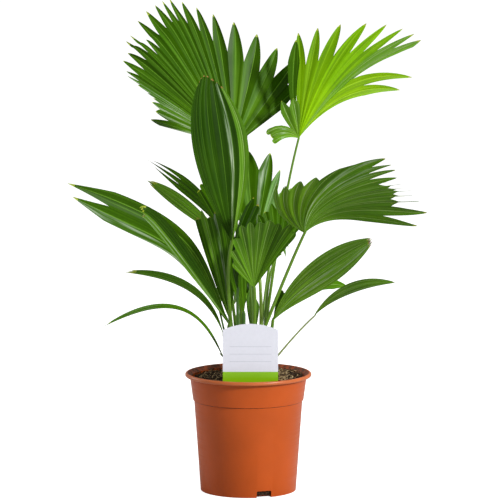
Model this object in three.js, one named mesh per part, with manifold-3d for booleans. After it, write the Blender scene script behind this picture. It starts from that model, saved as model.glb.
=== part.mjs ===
// A young Chinese fan palm: a clump of five seedling stems in a round nursery pot.
// Millimetres, +Z up. The origin is the centre of the pot's flat underside.
// Each frond is a stalk that rises from its stem, with one or more pleated blades at its hub.
// The blades follow a curved spine; their leaflets are joined as far as a split and free beyond it.

import * as THREE from 'three';
import { mergeVertices } from 'three/addons/utils/BufferGeometryUtils.js';
import Module from 'manifold-3d';

// ---- driving dimensions ----------------------------------------------------------------------

const GAP = 0.3;                     // clearance between neighbouring pieces
const MERGE = 1e-4;                  // vertices nearer than this are one

const POT = {
  height: 159.8,
  lipRadius: 85,
  lipHeight: 5.2,
  collarTopRadius: 78.6,
  collarFootRadius: 74.4,
  collarHeight: 36.4,
  step: 1.1,
  bodyTopRadius: 72.9,
  baseRadius: 64.3,
  wall: 2.2,
  floor: 2.6,
  edge: 1.4,                         // rounding of the lip and of the base's corner
  sides: 44,
  colour: 0xc4622f,
};

const NOTCH = { count: 3, width: 20.5, height: 9, depth: 9, firstAngle: -70.8, clear: 4, curveSteps: 3 };
const DRAIN = { count: 5, radius: 5, circle: 34, sides: 10 };

const SOIL = { top: 152, dome: 1.6, crownRadius: 40, colour: 0x3a2a1c };

const LABEL = {
  centreX: 2.9,
  planeY: -60,
  width: 73.6,
  thickness: 0.8,
  foot: 141,
  shoulder: 226.4,
  crown: 234.6,
  cornerRadius: 4,
  curveSteps: 8,
  colour: 0xe4e6f0,
};

const STEM = { height: 22, footRadius: 5.5, topRadius: 3.5, sides: 8, colour: 0x6a5a34 };

const STEMS = {
  left: [-22, -3],
  front: [-4, -12],
  right: [20, -4],
  back_right: [12, 12],
  back_left: [-10, 14],
};

const BLADE = {
  thinnest: 1.2,                     // least thickness of a blade
  thicknessShare: 0.01,              // thickness over length, where that is more
  tipShare: 0.55,                    // thickness left at a leaflet's tip
  hubRing: 6,                        // radius at which a blade's pleats begin
  wedge: 30,                         // degrees of spread to each side of the hub's ring
  taper: 0.85,                       // how full a free leaflet stays towards its tip
  middle: 0.5,                       // where along a free leaflet its middle line lies
  leastFree: 1.02,                   // least length of a leaflet over its split
  waveStep: 2.4,                     // turn of the wave in their lengths from one to the next
  closing: 2,                        // power of the distance by which a pinched blade closes
};

const STALK = { sides: 6, steps: 7, intoBlade: 1.5 };

const LEAF = {
  deep: 0x24480a,
  dark: 0x2f5a12,
  mid: 0x47762a,
  fresh: 0x5a8a3a,
  bright: 0x66a003,
  pale: 0x8fae6a,
};

// A frond's sizes:
//   stem, side, foot   the stem it grows on, the side of it in degrees from +X, and its foot's height
//   stalk, hub         a point half way along the stalk, and the point where the blade begins
//   radii              the stalk's radius at its foot and at the hub
// A blade's sizes:
//   via, tip           up to two handles of its spine, and the point the spine ends at
//   leaflets           how many leaflets it is folded into
//   spread             the leaflets' angles from the spine, in degrees, from edge to edge
//   reach, split       their lengths over the spine's, and how far along they are joined
//   lean               how far they lean out of the blade's plane, in degrees
//   face               where the upper side looks: degrees to the right of the front, and up
//   pinch              how much the spread closes towards the tip
//   cup                how far the sides curl towards the face
//   pleat              depth of a fold over half a leaflet's width
//   rings              cross lines of the joined part
//   wave               how far the leaflets' lengths vary

const PLAIN_BLADE = {
  via: [],
  reach: [1],
  split: [0.9],
  lean: [0],
  face: [0, 0],
  pinch: 0,
  cup: 0,
  pleat: 0.25,
  rings: 3,
  wave: 0.04,
};

const FRONDS = [
  {
    name: 'frond_high_left_fan', stem: 'back_left', side: 30, foot: 173,
    stalk: [-15, 28, 340], hub: [-20, 45, 461], radii: [2.2, 1.5], colour: LEAF.dark,
    blades: [{
      via: [[-67, 80, 601]], tip: [-84.5, 90, 632], leaflets: 26, wave: 0,
      spread: [-57, -42.5, -38.5, -34, -24, -17, -7, 0, 13.2, 41.3, 69],
      reach: [
        0.66, 0.57, 0.65, 0.65, 0.7, 0.78, 0.91, 0.94, 1.03, 1.05, 1.15, 1.16, 1.05, 1.2, 1.21,
        1.21, 1.21, 1.19, 1.12, 1.03, 0.95, 0.88, 0.81, 0.77, 0.74, 0.51,
      ],
      split: [0.81, 0.93, 0.9, 0.81, 0.81, 0.85, 0.79, 0.71, 0.86],
      lean: [16, 8, 2, 0, -4, -8, -16], pleat: 0.35,
    }],
  },
  {
    name: 'frond_tall_front_blade', stem: 'left', side: 0, foot: 172,
    stalk: [-27, -8, 273], hub: [-22, -20, 339], radii: [2.3, 1.9], colour: LEAF.deep,
    blades: [{
      via: [[-74, -50, 492]], tip: [-57, -38, 564], leaflets: 8, wave: 0, spread: [-10.8, 1.4, 36],
      reach: [0.93, 1, 0.95], split: [0.96, 0.95, 0.95], pinch: 0.8, cup: -0.5, face: [10, 0],
      rings: 5,
    }],
  },
  {
    name: 'frond_high_right_fan', stem: 'back_right', side: 25, foot: 173,
    stalk: [43, 30, 352], hub: [68, 45, 472], radii: [1.9, 1.3], colour: LEAF.bright,
    blades: [{
      via: [[91, 45, 550]], tip: [140, 60, 625], leaflets: 8, wave: 0,
      spread: [-21.5, -7, 6.3, 14.1, 19], reach: [0.77, 0.9, 1.12, 1.29, 1.36],
      split: [0.68, 0.69, 0.71, 0.76, 0.93], lean: [0, 0, 0, -6, -14], pinch: -0.35,
    }, {
      via: [[105, 70, 532], [158, 80, 552]], tip: [215, 95, 541.5], leaflets: 2, spread: [-7, 7.5],
      split: [0.66], pinch: 0.2, rings: 4,
    }, {
      tip: [53, 30, 529], leaflets: 2, spread: [-24, 19], reach: [0.9, 1], split: [0.8],
      pinch: 0.3,
    }, {
      via: [[48, 25, 487]], tip: [31, 25, 472], leaflets: 3, spread: [-15, 25], split: [0.93],
      pinch: 0.3,
    }, {
      via: [[54, 40, 530]], tip: [64, 38, 600], leaflets: 1, spread: [-4.5, 4.5], split: [0.8],
    }],
  },
  {
    name: 'frond_right_fan', stem: 'front', side: 355, foot: 172,
    stalk: [48, -27, 290], hub: [75, -40, 354], radii: [2.2, 1.6], colour: LEAF.mid,
    blades: [{
      via: [[94, -70, 408.5]], tip: [196, -120, 425], leaflets: 17, wave: 0,
      spread: [-86, -76, -41, -18, -9.6, -0.8, 3.6, 11, 26],
      reach: [
        0.42, 0.45, 0.4, 0.41, 0.46, 0.6, 0.99, 1.03, 1.04, 1.02, 1.04, 1.09, 1.1, 1.09, 1.15,
        1.16, 1.01,
      ],
      split: [0.75, 0.85, 0.88, 0.88, 0.77, 0.86, 0.85, 0.77, 0.58],
      lean: [-10, 0, 6, 4, 0, -4, -10], pinch: 0.18,
    }],
  },
  {
    name: 'frond_front_small_fan', stem: 'front', side: 300, foot: 172,
    stalk: [8, -30, 231], hub: [8, -45, 281], radii: [2.2, 1.9], colour: LEAF.mid,
    blades: [{
      via: [[10, -60, 333]], tip: [13, -100, 380], leaflets: 10, wave: 0,
      spread: [-46, -20, -2, 15, 31],
      reach: [0.33, 0.48, 0.62, 0.8, 0.95, 0.9, 0.99, 0.99, 0.97, 1.02, 0.8],
      split: [0.92, 0.93, 0.8, 0.95, 0.88, 0.95], face: [0, 10],
    }],
  },
  {
    name: 'frond_left_torn', stem: 'left', side: 240, foot: 171,
    stalk: [-24, -11, 195], hub: [-24, -15, 228], radii: [2, 2], colour: LEAF.dark,
    blades: [{
      via: [[-39, -35, 253], [-122, -65, 390]], tip: [-139, -95, 389], leaflets: 5, wave: 0,
      spread: [-5.8, 0.3, 6], split: [0.96], pinch: 0.66, face: [-20, 10], rings: 6,
    }],
  },
  {
    name: 'frond_left_long', stem: 'left', side: 180, foot: 171,
    stalk: [-28, -1, 193], hub: [-26, 3, 224], radii: [2, 2], colour: LEAF.mid,
    blades: [{
      via: [[-83, 0, 344], [-78, -10, 346]], tip: [-232, -40, 414], leaflets: 2,
      spread: [-11, 7.2], split: [0.82], pinch: 0.7, face: [-10, 10], rings: 7,
    }],
  },
  {
    name: 'frond_left_arching', stem: 'left', side: 130, foot: 165,
    stalk: [-29, 8.5, 188], hub: [-33, 12, 207], radii: [1.8, 1.6], colour: LEAF.mid,
    blades: [{
      via: [[-44, 30, 247], [-77, 60, 288]], tip: [-165, 110, 281.5], leaflets: 3,
      spread: [-4.5, 4], split: [0.93], pinch: 0.87, face: [-10, 40], rings: 6,
    }],
  },
  {
    name: 'frond_left_low_strap', stem: 'left', side: 290, foot: 161,
    stalk: [-27, -17.5, 177], hub: [-35, -24, 187], radii: [1.4, 1.2], colour: LEAF.dark,
    blades: [{
      via: [[-60, -50, 242], [-89, -80, 288]], tip: [-189, -130, 241.5], leaflets: 2,
      spread: [-1, 5.3], split: [0.93], pinch: 0.97, face: [-10, 50], rings: 7,
    }],
  },
  {
    name: 'frond_right_low_broad', stem: 'right', side: 20, foot: 171,
    stalk: [30, -6, 205], hub: [33, -10, 231], radii: [2, 1.9], colour: LEAF.mid,
    blades: [{
      via: [[60, -30, 288]], tip: [162, -100, 352], leaflets: 7, wave: 0.01, spread: [-12.5, 17],
      split: [0.96, 0.95, 0.9], pinch: 0.93, face: [0, 20], rings: 5,
    }, {
      via: [[84, -8, 292]], tip: [131, -18, 279], leaflets: 1, spread: [-5, 5], split: [0.85],
      pinch: 0.3, face: [0, 20], rings: 4,
    }, {
      tip: [48, -16, 272], leaflets: 2, spread: [-13, 13], split: [0.95], pinch: 0.4,
    }],
  },
  {
    name: 'frond_right_low_slim', stem: 'right', side: 285, foot: 161,
    stalk: [58, -28, 209], hub: [87, -45, 242], radii: [1.2, 1], colour: LEAF.fresh,
    blades: [{
      via: [[97, -60, 267], [135, -85, 313]], tip: [193, -130, 300], leaflets: 3,
      spread: [-0.2, 13.9], split: [0.95], pinch: 0.98, face: [0, 25], rings: 5,
    }],
  },
  {
    name: 'frond_left_folded_fan', stem: 'back_left', side: 170, foot: 172,
    stalk: [-31, 26, 280], hub: [-30, 30, 338], radii: [1.8, 1.3], colour: LEAF.dark,
    blades: [{
      via: [[-80, 60, 361]], tip: [-138, 95, 408], leaflets: 4, spread: [-2.7, 16.5], split: [0.9],
      pinch: 0.95, face: [-30, 10], rings: 4,
    }, {
      via: [[-47, 80, 386]], tip: [-133, 120, 432], leaflets: 3, spread: [-9.5, 7.5],
      split: [0.68], pinch: 0.85, face: [-40, 10], rings: 4,
    }, {
      via: [[-45, 50, 372]], tip: [-66, 62, 404], leaflets: 2, spread: [-10, 10], split: [0.93],
      pinch: 0.5, face: [-20, 10],
    }],
  },
  {
    name: 'frond_left_inner', stem: 'back_left', side: 215, foot: 171,
    stalk: [-21, 11, 195], hub: [-23, 12, 226], radii: [2, 2], colour: LEAF.deep,
    blades: [{
      via: [[-38, 18, 260]], tip: [-67, 5, 373], leaflets: 6, spread: [-3.7, 26], split: [0.95],
      pinch: 0.35, face: [-20, 0], rings: 4,
    }],
  },
  {
    name: 'frond_pale_back', stem: 'back_right', side: 300, foot: 171,
    stalk: [17, 27, 262], hub: [10, 50, 322], radii: [2.4, 1.6], colour: LEAF.pale,
    blades: [{
      via: [[13, 75, 390]], tip: [21, 110, 445], leaflets: 5, spread: [-34, -13, 4.3, 15, 26],
      reach: [0.8, 0.97, 1.05, 0.77, 0.6], split: [0.85, 0.82, 0.74, 0.76, 0.8], cup: 0.3,
    }],
  },
  {
    name: 'frond_narrow_folded', stem: 'front', side: 200, foot: 171,
    stalk: [-14.5, -22, 240], hub: [-14, -30, 276], radii: [1.6, 1.4], colour: LEAF.deep,
    blades: [{
      via: [[-25, -48, 332]], tip: [9, -62, 399], leaflets: 2, spread: [-9, 11], split: [0.93],
      pinch: 0.5, face: [40, 0], rings: 5,
    }],
  },
  {
    name: 'frond_right_inner_fan', stem: 'right', side: 80, foot: 172,
    stalk: [26.5, 9, 281], hub: [40, 14, 318], radii: [1.5, 1.2], colour: LEAF.dark,
    blades: [{
      via: [[43, 22, 350]], tip: [48, 22, 387], leaflets: 8, spread: [-38, 0, 34],
      reach: [0.8, 1, 0.85], split: [0.9], rings: 2,
    }],
  },
  {
    name: 'frond_left_rear_strap', stem: 'left', side: 80, foot: 167,
    stalk: [-31, 19, 207], hub: [-42, 40, 252], radii: [1.3, 1.1], colour: LEAF.mid,
    blades: [{
      via: [[-71, 60, 301]], tip: [-114, 95, 337], leaflets: 3, spread: [-8, 8], split: [0.9],
      pinch: 0.8, face: [-10, 10], rings: 4,
    }],
  },
  {
    name: 'frond_rear_tall_fan', stem: 'back_right', side: 190, foot: 172,
    stalk: [2, 50, 290], hub: [-5, 122, 392], radii: [2, 1.4], colour: LEAF.dark,
    blades: [{
      via: [[-8, 150, 445]], tip: [-12, 182, 487], leaflets: 13, spread: [-38, 4, 50],
      reach: [0.75, 0.95, 1, 0.95, 0.75], split: [0.75], cup: 0.2, face: [95, 0],
    }],
  },
  {
    name: 'frond_young_spear', stem: 'front', side: 150, foot: 170,
    stalk: [-6.5, -8, 212], hub: [-6, -7, 240], radii: [2.4, 2.2], colour: LEAF.dark,
    blades: [{
      tip: [-13, -9, 340], leaflets: 5, spread: [-21, 12], split: [0.9], pinch: 0.8,
    }],
  },
  {
    name: 'frond_rear_left_fan', stem: 'back_left', side: 125, foot: 172,
    stalk: [-20, 40, 240], hub: [-30, 88, 292], radii: [2.1, 1.5], colour: LEAF.mid,
    blades: [{
      via: [[-32, 140, 350]], tip: [-38, 205, 345], leaflets: 14, spread: [-62, 0, 58],
      reach: [0.8, 0.95, 1, 0.95, 0.8], split: [0.7], cup: 0.3, face: [100, 0],
    }],
  },
  {
    name: 'frond_rear_right_fan', stem: 'back_right', side: 65, foot: 172,
    stalk: [21, 32, 245], hub: [33, 78, 322], radii: [2, 1.5], colour: LEAF.mid,
    blades: [{
      via: [[44, 130, 362]], tip: [58, 190, 330], leaflets: 12, spread: [-40, 0, 34],
      reach: [0.7, 0.95, 1, 0.9, 0.7], split: [0.7], cup: 0.3, face: [75, 0],
    }],
  },
  {
    name: 'frond_rear_low_left', stem: 'back_left', side: 80, foot: 166,
    stalk: [-9, 24.5, 179], hub: [-10, 29, 192], radii: [1.9, 1.8], colour: LEAF.fresh,
    blades: [{
      via: [[-12, 60, 262], [-20, 130, 292]], tip: [-26, 190, 225], leaflets: 5, spread: [-13, 13],
      split: [0.9], pinch: 0.65, face: [170, 40], rings: 6,
    }],
  },
  {
    name: 'frond_rear_low_right', stem: 'back_right', side: 110, foot: 166,
    stalk: [8, 23, 182], hub: [7, 30, 197], radii: [1.8, 1.7], colour: LEAF.dark,
    blades: [{
      via: [[6, 60, 262], [6, 110, 300]], tip: [6, 165, 272], leaflets: 4, spread: [-12, 12],
      split: [0.9], pinch: 0.7, face: [190, 40], rings: 6,
    }],
  },
];

// ---- solids and booleans ---------------------------------------------------------------------

const wasm = await Module();
wasm.setup();

function toSolid(geometry) {
  const bare = geometry.clone();
  bare.deleteAttribute('normal');
  bare.deleteAttribute('uv');
  const merged = mergeVertices(bare, MERGE);
  return new wasm.Manifold(new wasm.Mesh({
    numProp: 3,
    vertProperties: new Float32Array(merged.attributes.position.array),
    triVerts: new Uint32Array(merged.index.array),
  }));
}

function toGeometry(solid) {
  const mesh = solid.getMesh();
  const positions = new Float32Array(mesh.vertProperties);
  const geometry = new THREE.BufferGeometry();
  geometry.setAttribute('position', new THREE.BufferAttribute(positions, 3));
  geometry.setIndex(new THREE.BufferAttribute(new Uint32Array(mesh.triVerts), 1));
  geometry.computeVertexNormals();
  return geometry;
}

function indexedGeometry(points, triangles) {
  const positions = points.flatMap((point) => point.toArray());
  const geometry = new THREE.BufferGeometry();
  geometry.setAttribute('position', new THREE.Float32BufferAttribute(positions, 3));
  geometry.setIndex(triangles);
  return geometry;
}

// The geometry as a solid, with its triangles turned over if they face inwards.
function outwardSolid(geometry) {
  const solid = toSolid(geometry);
  if (solid.volume() > 0) return solid;
  const index = Array.from(geometry.index.array);
  for (let i = 0; i < index.length; i += 3) [index[i], index[i + 1]] = [index[i + 1], index[i]];
  geometry.setIndex(index);
  return toSolid(geometry);
}

function namedMesh(name, geometry, finish) {
  const mesh = new THREE.Mesh(geometry, new THREE.MeshStandardMaterial({ metalness: 0, ...finish }));
  mesh.name = name;
  return mesh;
}

// ---- shared maths ----------------------------------------------------------------------------

const radians = THREE.MathUtils.degToRad;
const lerp = THREE.MathUtils.lerp;
const clamp = THREE.MathUtils.clamp;

// A smooth value at u, from -1 to 1, through evenly spaced knots.
function smooth(knots, u) {
  if (knots.length === 1) return knots[0];
  const last = knots.length - 1;
  const x = ((u + 1) / 2) * last;
  const i = clamp(Math.floor(x), 0, last - 1);
  const f = x - i;
  const [a, b] = [knots[i], knots[i + 1]];
  const before = i === 0 ? b - a : (b - knots[i - 1]) / 2;
  const after = i === last - 1 ? b - a : (knots[i + 2] - a) / 2;
  return (2 * f ** 3 - 3 * f ** 2 + 1) * a + (f ** 3 - 2 * f ** 2 + f) * before
    + (-2 * f ** 3 + 3 * f ** 2) * b + (f ** 3 - f ** 2) * after;
}

function vector(list) {
  return new THREE.Vector3(...list);
}

function curveThrough(hub, via, tip) {
  if (via.length === 0) return new THREE.LineCurve3(hub, tip);
  if (via.length === 1) return new THREE.QuadraticBezierCurve3(hub, vector(via[0]), tip);
  return new THREE.CubicBezierCurve3(hub, vector(via[0]), vector(via[1]), tip);
}

// ---- fronds ----------------------------------------------------------------------------------

// The surface that a blade's leaflets lie on: place(u, r, lift) is the point at r millimetres from
// the hub on the rib at u, from -1 at one edge to 1 at the other, lifted off the blade's plane.
function bladeSurface(hub, blade) {
  const spine = curveThrough(hub, blade.via, vector(blade.tip));
  const length = spine.getLength();
  const [turn, rise] = blade.face.map(radians);
  const face = new THREE.Vector3(
    Math.sin(turn) * Math.cos(rise), -Math.cos(turn) * Math.cos(rise), Math.sin(rise));

  function angle(u, r) {
    const share = r / (length * smooth(blade.reach, u));
    return radians(smooth(blade.spread, u) * (1 - blade.pinch * share ** BLADE.closing));
  }

  function place(u, r, lift) {
    const theta = angle(u, r);
    const across = r * Math.sin(theta);
    const along = r * Math.cos(theta);
    const at = clamp(along / length, 0, 1);
    const tangent = spine.getTangentAt(at);
    const side = new THREE.Vector3().crossVectors(tangent, face).normalize();
    const normal = new THREE.Vector3().crossVectors(side, tangent);
    const lean = r * Math.tan(radians(smooth(blade.lean, u)));
    const out = lean + (blade.cup * across ** 2) / length + lift;
    return spine.getPointAt(at)
      .addScaledVector(tangent, along - at * length)
      .addScaledVector(side, across)
      .addScaledVector(normal, out);
  }

  return { length, angle, place };
}

// One closed thin blade. Its columns are the leaflets' edges and ribs in turn; near the hub they
// close up into a few, and beyond the split each leaflet tapers to a tip of its own.
function bladeGeometry(hub, blade, seed) {
  const { length, angle, place } = bladeSurface(hub, blade);
  const thickness = Math.max(BLADE.thinnest, length * BLADE.thicknessShare);
  const count = blade.leaflets;
  const columns = 2 * count;
  const uOf = (column) => -1 + column / count;
  const splitAt = (u) => length * smooth(blade.reach, u) * smooth(blade.split, u);

  const points = [];
  const triangles = [];

  // Upper and lower vertex of one place, as the index of the upper one.
  function pair(u, r, fold, share = 1) {
    const half = (thickness * share) / 2;
    points.push(place(u, r, fold + half), place(u, r, fold - half));
    return points.length - 2;
  }
  function face(a, b, c) {
    triangles.push(a, b, c, a + 1, c + 1, b + 1);
  }
  function quad(a, b, c, d) {
    face(a, b, c);
    face(a, c, d);
  }
  function wall(a, b) {
    triangles.push(a, a + 1, b + 1, a, b + 1, b);
  }
  function foldAt(column, u, r) {
    const leaflet = angle(Math.min(u + 1 / count, 1), r) - angle(Math.max(u - 1 / count, -1), r);
    const halfWidth = (r * Math.abs(leaflet)) / 2;
    return (blade.pleat * halfWidth * (column % 2 === 0 ? 1 : -1)) / 2;
  }

  // The hub and the few points of the ring round it.
  const centre = pair(0, 0, 0);
  const sweep = Math.abs(smooth(blade.spread, 1) - smooth(blade.spread, -1));
  const wedges = Math.max(2, Math.round(sweep / BLADE.wedge));
  const hubRing = [];
  for (let w = 0; w <= wedges; w += 1) hubRing.push(pair(-1 + (2 * w) / wedges, BLADE.hubRing, 0));
  for (let w = 0; w < wedges; w += 1) face(centre, hubRing[w + 1], hubRing[w]);
  wall(hubRing[0], centre);
  wall(centre, hubRing[wedges]);

  // The joined part.
  const rings = [];
  for (let k = 1; k <= blade.rings; k += 1) {
    const ring = [];
    for (let c = 0; c <= columns; c += 1) {
      const u = uOf(c);
      const r = lerp(BLADE.hubRing, splitAt(u), k / blade.rings);
      ring.push(pair(u, r, foldAt(c, u, r)));
    }
    rings.push(ring);
  }
  const wedgeOf = (column) => Math.round((column / columns) * wedges);
  for (let c = 0; c < columns; c += 1) {
    const [near, next] = [hubRing[wedgeOf(c)], hubRing[wedgeOf(c + 1)]];
    face(near, rings[0][c + 1], rings[0][c]);
    if (near !== next) face(near, next, rings[0][c + 1]);
  }
  for (let k = 1; k < rings.length; k += 1) {
    for (let c = 0; c < columns; c += 1) {
      quad(rings[k - 1][c], rings[k - 1][c + 1], rings[k][c + 1], rings[k][c]);
    }
  }
  for (const c of [0, columns]) {
    const edge = [hubRing[c === 0 ? 0 : wedges], ...rings.map((ring) => ring[c])];
    for (let k = 1; k < edge.length; k += 1) {
      if (c === 0) wall(edge[k], edge[k - 1]);
      else wall(edge[k - 1], edge[k]);
    }
  }

  // The free leaflets.
  const shoulder = rings[rings.length - 1];
  for (let i = 0; i < count; i += 1) {
    const rib = 2 * i + 1;
    const ribU = uOf(rib);
    const wave = 1 + blade.wave * Math.sin(BLADE.waveStep * i + seed);
    const end = Math.max(length * smooth(blade.reach, ribU) * wave, splitAt(ribU) * BLADE.leastFree);
    const narrow = (1 - BLADE.middle) ** BLADE.taper;
    const middle = [rib - 1, rib, rib + 1].map((c) => {
      const u = lerp(ribU, uOf(c), narrow);
      const r = lerp(splitAt(uOf(c)), end, BLADE.middle);
      return pair(u, r, foldAt(c, uOf(c), r) * narrow, lerp(1, BLADE.tipShare, BLADE.middle));
    });
    const tip = pair(ribU, end, 0, BLADE.tipShare);
    const start = [shoulder[rib - 1], shoulder[rib], shoulder[rib + 1]];
    quad(start[0], start[1], middle[1], middle[0]);
    quad(start[1], start[2], middle[2], middle[1]);
    face(middle[0], middle[1], tip);
    face(middle[1], middle[2], tip);
    wall(middle[0], start[0]);
    wall(tip, middle[0]);
    wall(start[2], middle[2]);
    wall(middle[2], tip);
  }
  return indexedGeometry(points, triangles);
}

// A tapering stalk from its foot on the stem, through its half-way point, to just past the hub.
function stalkGeometry(foot, halfWay, hub, radii) {
  const handle = halfWay.clone().multiplyScalar(2).addScaledVector(foot, -0.5).addScaledVector(hub, -0.5);
  const end = hub.clone().addScaledVector(hub.clone().sub(handle).normalize(), STALK.intoBlade);
  const path = new THREE.QuadraticBezierCurve3(foot, handle, end);
  const front = new THREE.Vector3(0, -1, 0);
  const points = [];
  const triangles = [];
  for (let k = 0; k <= STALK.steps; k += 1) {
    const t = k / STALK.steps;
    const at = path.getPoint(t);
    const tangent = path.getTangent(t);
    const side = new THREE.Vector3().crossVectors(tangent, front).normalize();
    const up = new THREE.Vector3().crossVectors(side, tangent);
    const radius = lerp(radii[0], radii[1], t);
    for (let s = 0; s < STALK.sides; s += 1) {
      const turn = (2 * Math.PI * s) / STALK.sides;
      points.push(at.clone()
        .addScaledVector(side, radius * Math.cos(turn))
        .addScaledVector(up, radius * Math.sin(turn)));
    }
  }
  const first = points.push(path.getPoint(0)) - 1;
  const last = points.push(path.getPoint(1)) - 1;
  const lastRing = STALK.steps * STALK.sides;
  for (let s = 0; s < STALK.sides; s += 1) {
    const next = (s + 1) % STALK.sides;
    triangles.push(first, s, next, last, lastRing + next, lastRing + s);
    for (let k = 0; k < STALK.steps; k += 1) {
      const [a, b] = [k * STALK.sides + s, k * STALK.sides + next];
      triangles.push(a, a + STALK.sides, b, b, a + STALK.sides, b + STALK.sides);
    }
  }
  return indexedGeometry(points, triangles);
}

function stemRadiusAt(z) {
  const foot = SOIL.top + SOIL.dome + GAP;
  return lerp(STEM.footRadius, STEM.topRadius, clamp((z - foot) / STEM.height, 0, 1));
}

function footOf(frond) {
  const [x, y] = STEMS[frond.stem];
  const turn = radians(frond.side);
  const out = stemRadiusAt(frond.foot) + frond.radii[0] + GAP;
  return new THREE.Vector3(x + out * Math.cos(turn), y + out * Math.sin(turn), frond.foot);
}

function frondMesh(frond, seed) {
  const hub = vector(frond.hub);
  let solid = outwardSolid(stalkGeometry(footOf(frond), vector(frond.stalk), hub, frond.radii));
  for (const sizes of frond.blades) {
    solid = solid.add(outwardSolid(bladeGeometry(hub, { ...PLAIN_BLADE, ...sizes }, seed)));
  }
  return namedMesh(frond.name, toGeometry(solid), { color: frond.colour, roughness: 0.45 });
}

// ---- pot, soil, label and stems --------------------------------------------------------------

// A lathed solid whose profile of [radius, height] points turns round the +Z axis.
function lathed(profile, sides) {
  const geometry = new THREE.LatheGeometry(profile.map(([r, z]) => new THREE.Vector2(r, z)), sides);
  return geometry.rotateX(Math.PI / 2);
}

// The pot's inner radius where its collar holds the soil.
function innerRadius(z) {
  const foot = POT.height - POT.collarHeight;
  return lerp(POT.collarFootRadius, POT.collarTopRadius, (z - foot) / POT.collarHeight) - POT.wall;
}

function potMesh() {
  const collarFoot = POT.height - POT.collarHeight;
  const lipFoot = POT.height - POT.lipHeight;
  const roll = 2 * POT.edge;
  const rollHalfWay = roll * (1 - Math.SQRT1_2);
  const profile = [
    [0, 0],
    [POT.baseRadius - POT.edge, 0],
    [POT.baseRadius, POT.edge],
    [POT.bodyTopRadius, collarFoot - POT.step],
    [POT.collarFootRadius, collarFoot],
    [POT.collarTopRadius, lipFoot],
    [POT.lipRadius - POT.edge, lipFoot],
    [POT.lipRadius, lipFoot + POT.edge],
    [POT.lipRadius, POT.height - roll],
    [POT.lipRadius - rollHalfWay, POT.height - rollHalfWay],
    [POT.lipRadius - roll, POT.height],
    [innerRadius(POT.height) + POT.edge, POT.height],
    [innerRadius(POT.height - POT.edge), POT.height - POT.edge],
    [innerRadius(collarFoot), collarFoot],
    [POT.baseRadius - POT.wall, POT.floor],
    [0, POT.floor],
  ];
  let solid = outwardSolid(lathed(profile, POT.sides));

  for (let i = 0; i < NOTCH.count; i += 1) {
    const arch = new THREE.Shape();
    const half = NOTCH.width / 2;
    arch.moveTo(-half, -NOTCH.clear);
    arch.lineTo(half, -NOTCH.clear);
    arch.lineTo(half, NOTCH.height / 2);
    arch.quadraticCurveTo(half, NOTCH.height, half / 2, NOTCH.height);
    arch.lineTo(-half / 2, NOTCH.height);
    arch.quadraticCurveTo(-half, NOTCH.height, -half, NOTCH.height / 2);
    const cutter = new THREE.ExtrudeGeometry(arch, {
      depth: NOTCH.depth + NOTCH.clear,
      bevelEnabled: false,
      curveSegments: NOTCH.curveSteps,
    });
    cutter.rotateX(Math.PI / 2);
    cutter.translate(0, POT.baseRadius + NOTCH.clear, 0);
    cutter.rotateZ(radians(NOTCH.firstAngle - 90 + (360 * i) / NOTCH.count));
    solid = solid.subtract(outwardSolid(cutter));
  }

  for (let i = 0; i < DRAIN.count; i += 1) {
    const hole = new THREE.CylinderGeometry(DRAIN.radius, DRAIN.radius, 4 * POT.floor, DRAIN.sides);
    hole.rotateX(Math.PI / 2);
    const turn = (2 * Math.PI * i) / DRAIN.count;
    hole.translate(DRAIN.circle * Math.cos(turn), DRAIN.circle * Math.sin(turn), 0);
    solid = solid.subtract(outwardSolid(hole));
  }
  return namedMesh('pot', toGeometry(solid), { color: POT.colour, roughness: 0.4 });
}

function soilMesh() {
  const collarFoot = POT.height - POT.collarHeight;
  const foot = POT.floor + GAP;
  const profile = [
    [0, foot],
    [POT.baseRadius - POT.wall - GAP, foot],
    [innerRadius(collarFoot) - GAP, collarFoot],
    [innerRadius(SOIL.top) - GAP, SOIL.top],
    [SOIL.crownRadius, SOIL.top + SOIL.dome],
    [0, SOIL.top + SOIL.dome],
  ];
  const body = outwardSolid(lathed(profile, POT.sides));
  const slotHeight = 2 * (SOIL.top + SOIL.dome - LABEL.foot);
  const slot = new THREE.BoxGeometry(LABEL.width + 2 * GAP, LABEL.thickness + 2 * GAP, slotHeight);
  slot.translate(LABEL.centreX, LABEL.planeY, LABEL.foot - GAP + slotHeight / 2);
  const cut = body.subtract(outwardSolid(slot));
  return namedMesh('soil', toGeometry(cut), { color: SOIL.colour, roughness: 1 });
}

function labelMesh() {
  const half = LABEL.width / 2;
  const rise = LABEL.crown - LABEL.shoulder;
  const arcRadius = (half ** 2 + rise ** 2) / (2 * rise);
  const reach = Math.asin((half - LABEL.cornerRadius) / arcRadius);
  const card = new THREE.Shape();
  card.moveTo(-half, LABEL.foot);
  card.lineTo(half, LABEL.foot);
  card.lineTo(half, LABEL.shoulder - LABEL.cornerRadius / 2);
  card.absarc(0, LABEL.crown - arcRadius, arcRadius, Math.PI / 2 - reach, Math.PI / 2 + reach, false);
  card.lineTo(-half, LABEL.shoulder - LABEL.cornerRadius / 2);
  card.closePath();
  const geometry = new THREE.ExtrudeGeometry(card, {
    depth: LABEL.thickness,
    bevelEnabled: false,
    curveSegments: LABEL.curveSteps,
  });
  geometry.rotateX(Math.PI / 2);
  geometry.translate(LABEL.centreX, LABEL.planeY + LABEL.thickness / 2, 0);
  return namedMesh('label_card', geometry, { color: LABEL.colour, roughness: 0.5 });
}

function stemMesh(name, [x, y]) {
  const foot = SOIL.top + SOIL.dome + GAP;
  const profile = [
    [0, foot],
    [STEM.footRadius, foot],
    [STEM.topRadius, foot + STEM.height],
    [0, foot + STEM.height],
  ];
  const geometry = lathed(profile, STEM.sides).translate(x, y, 0);
  return namedMesh(name, geometry, { color: STEM.colour, roughness: 0.9 });
}

// ---- the plant -------------------------------------------------------------------------------

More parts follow.
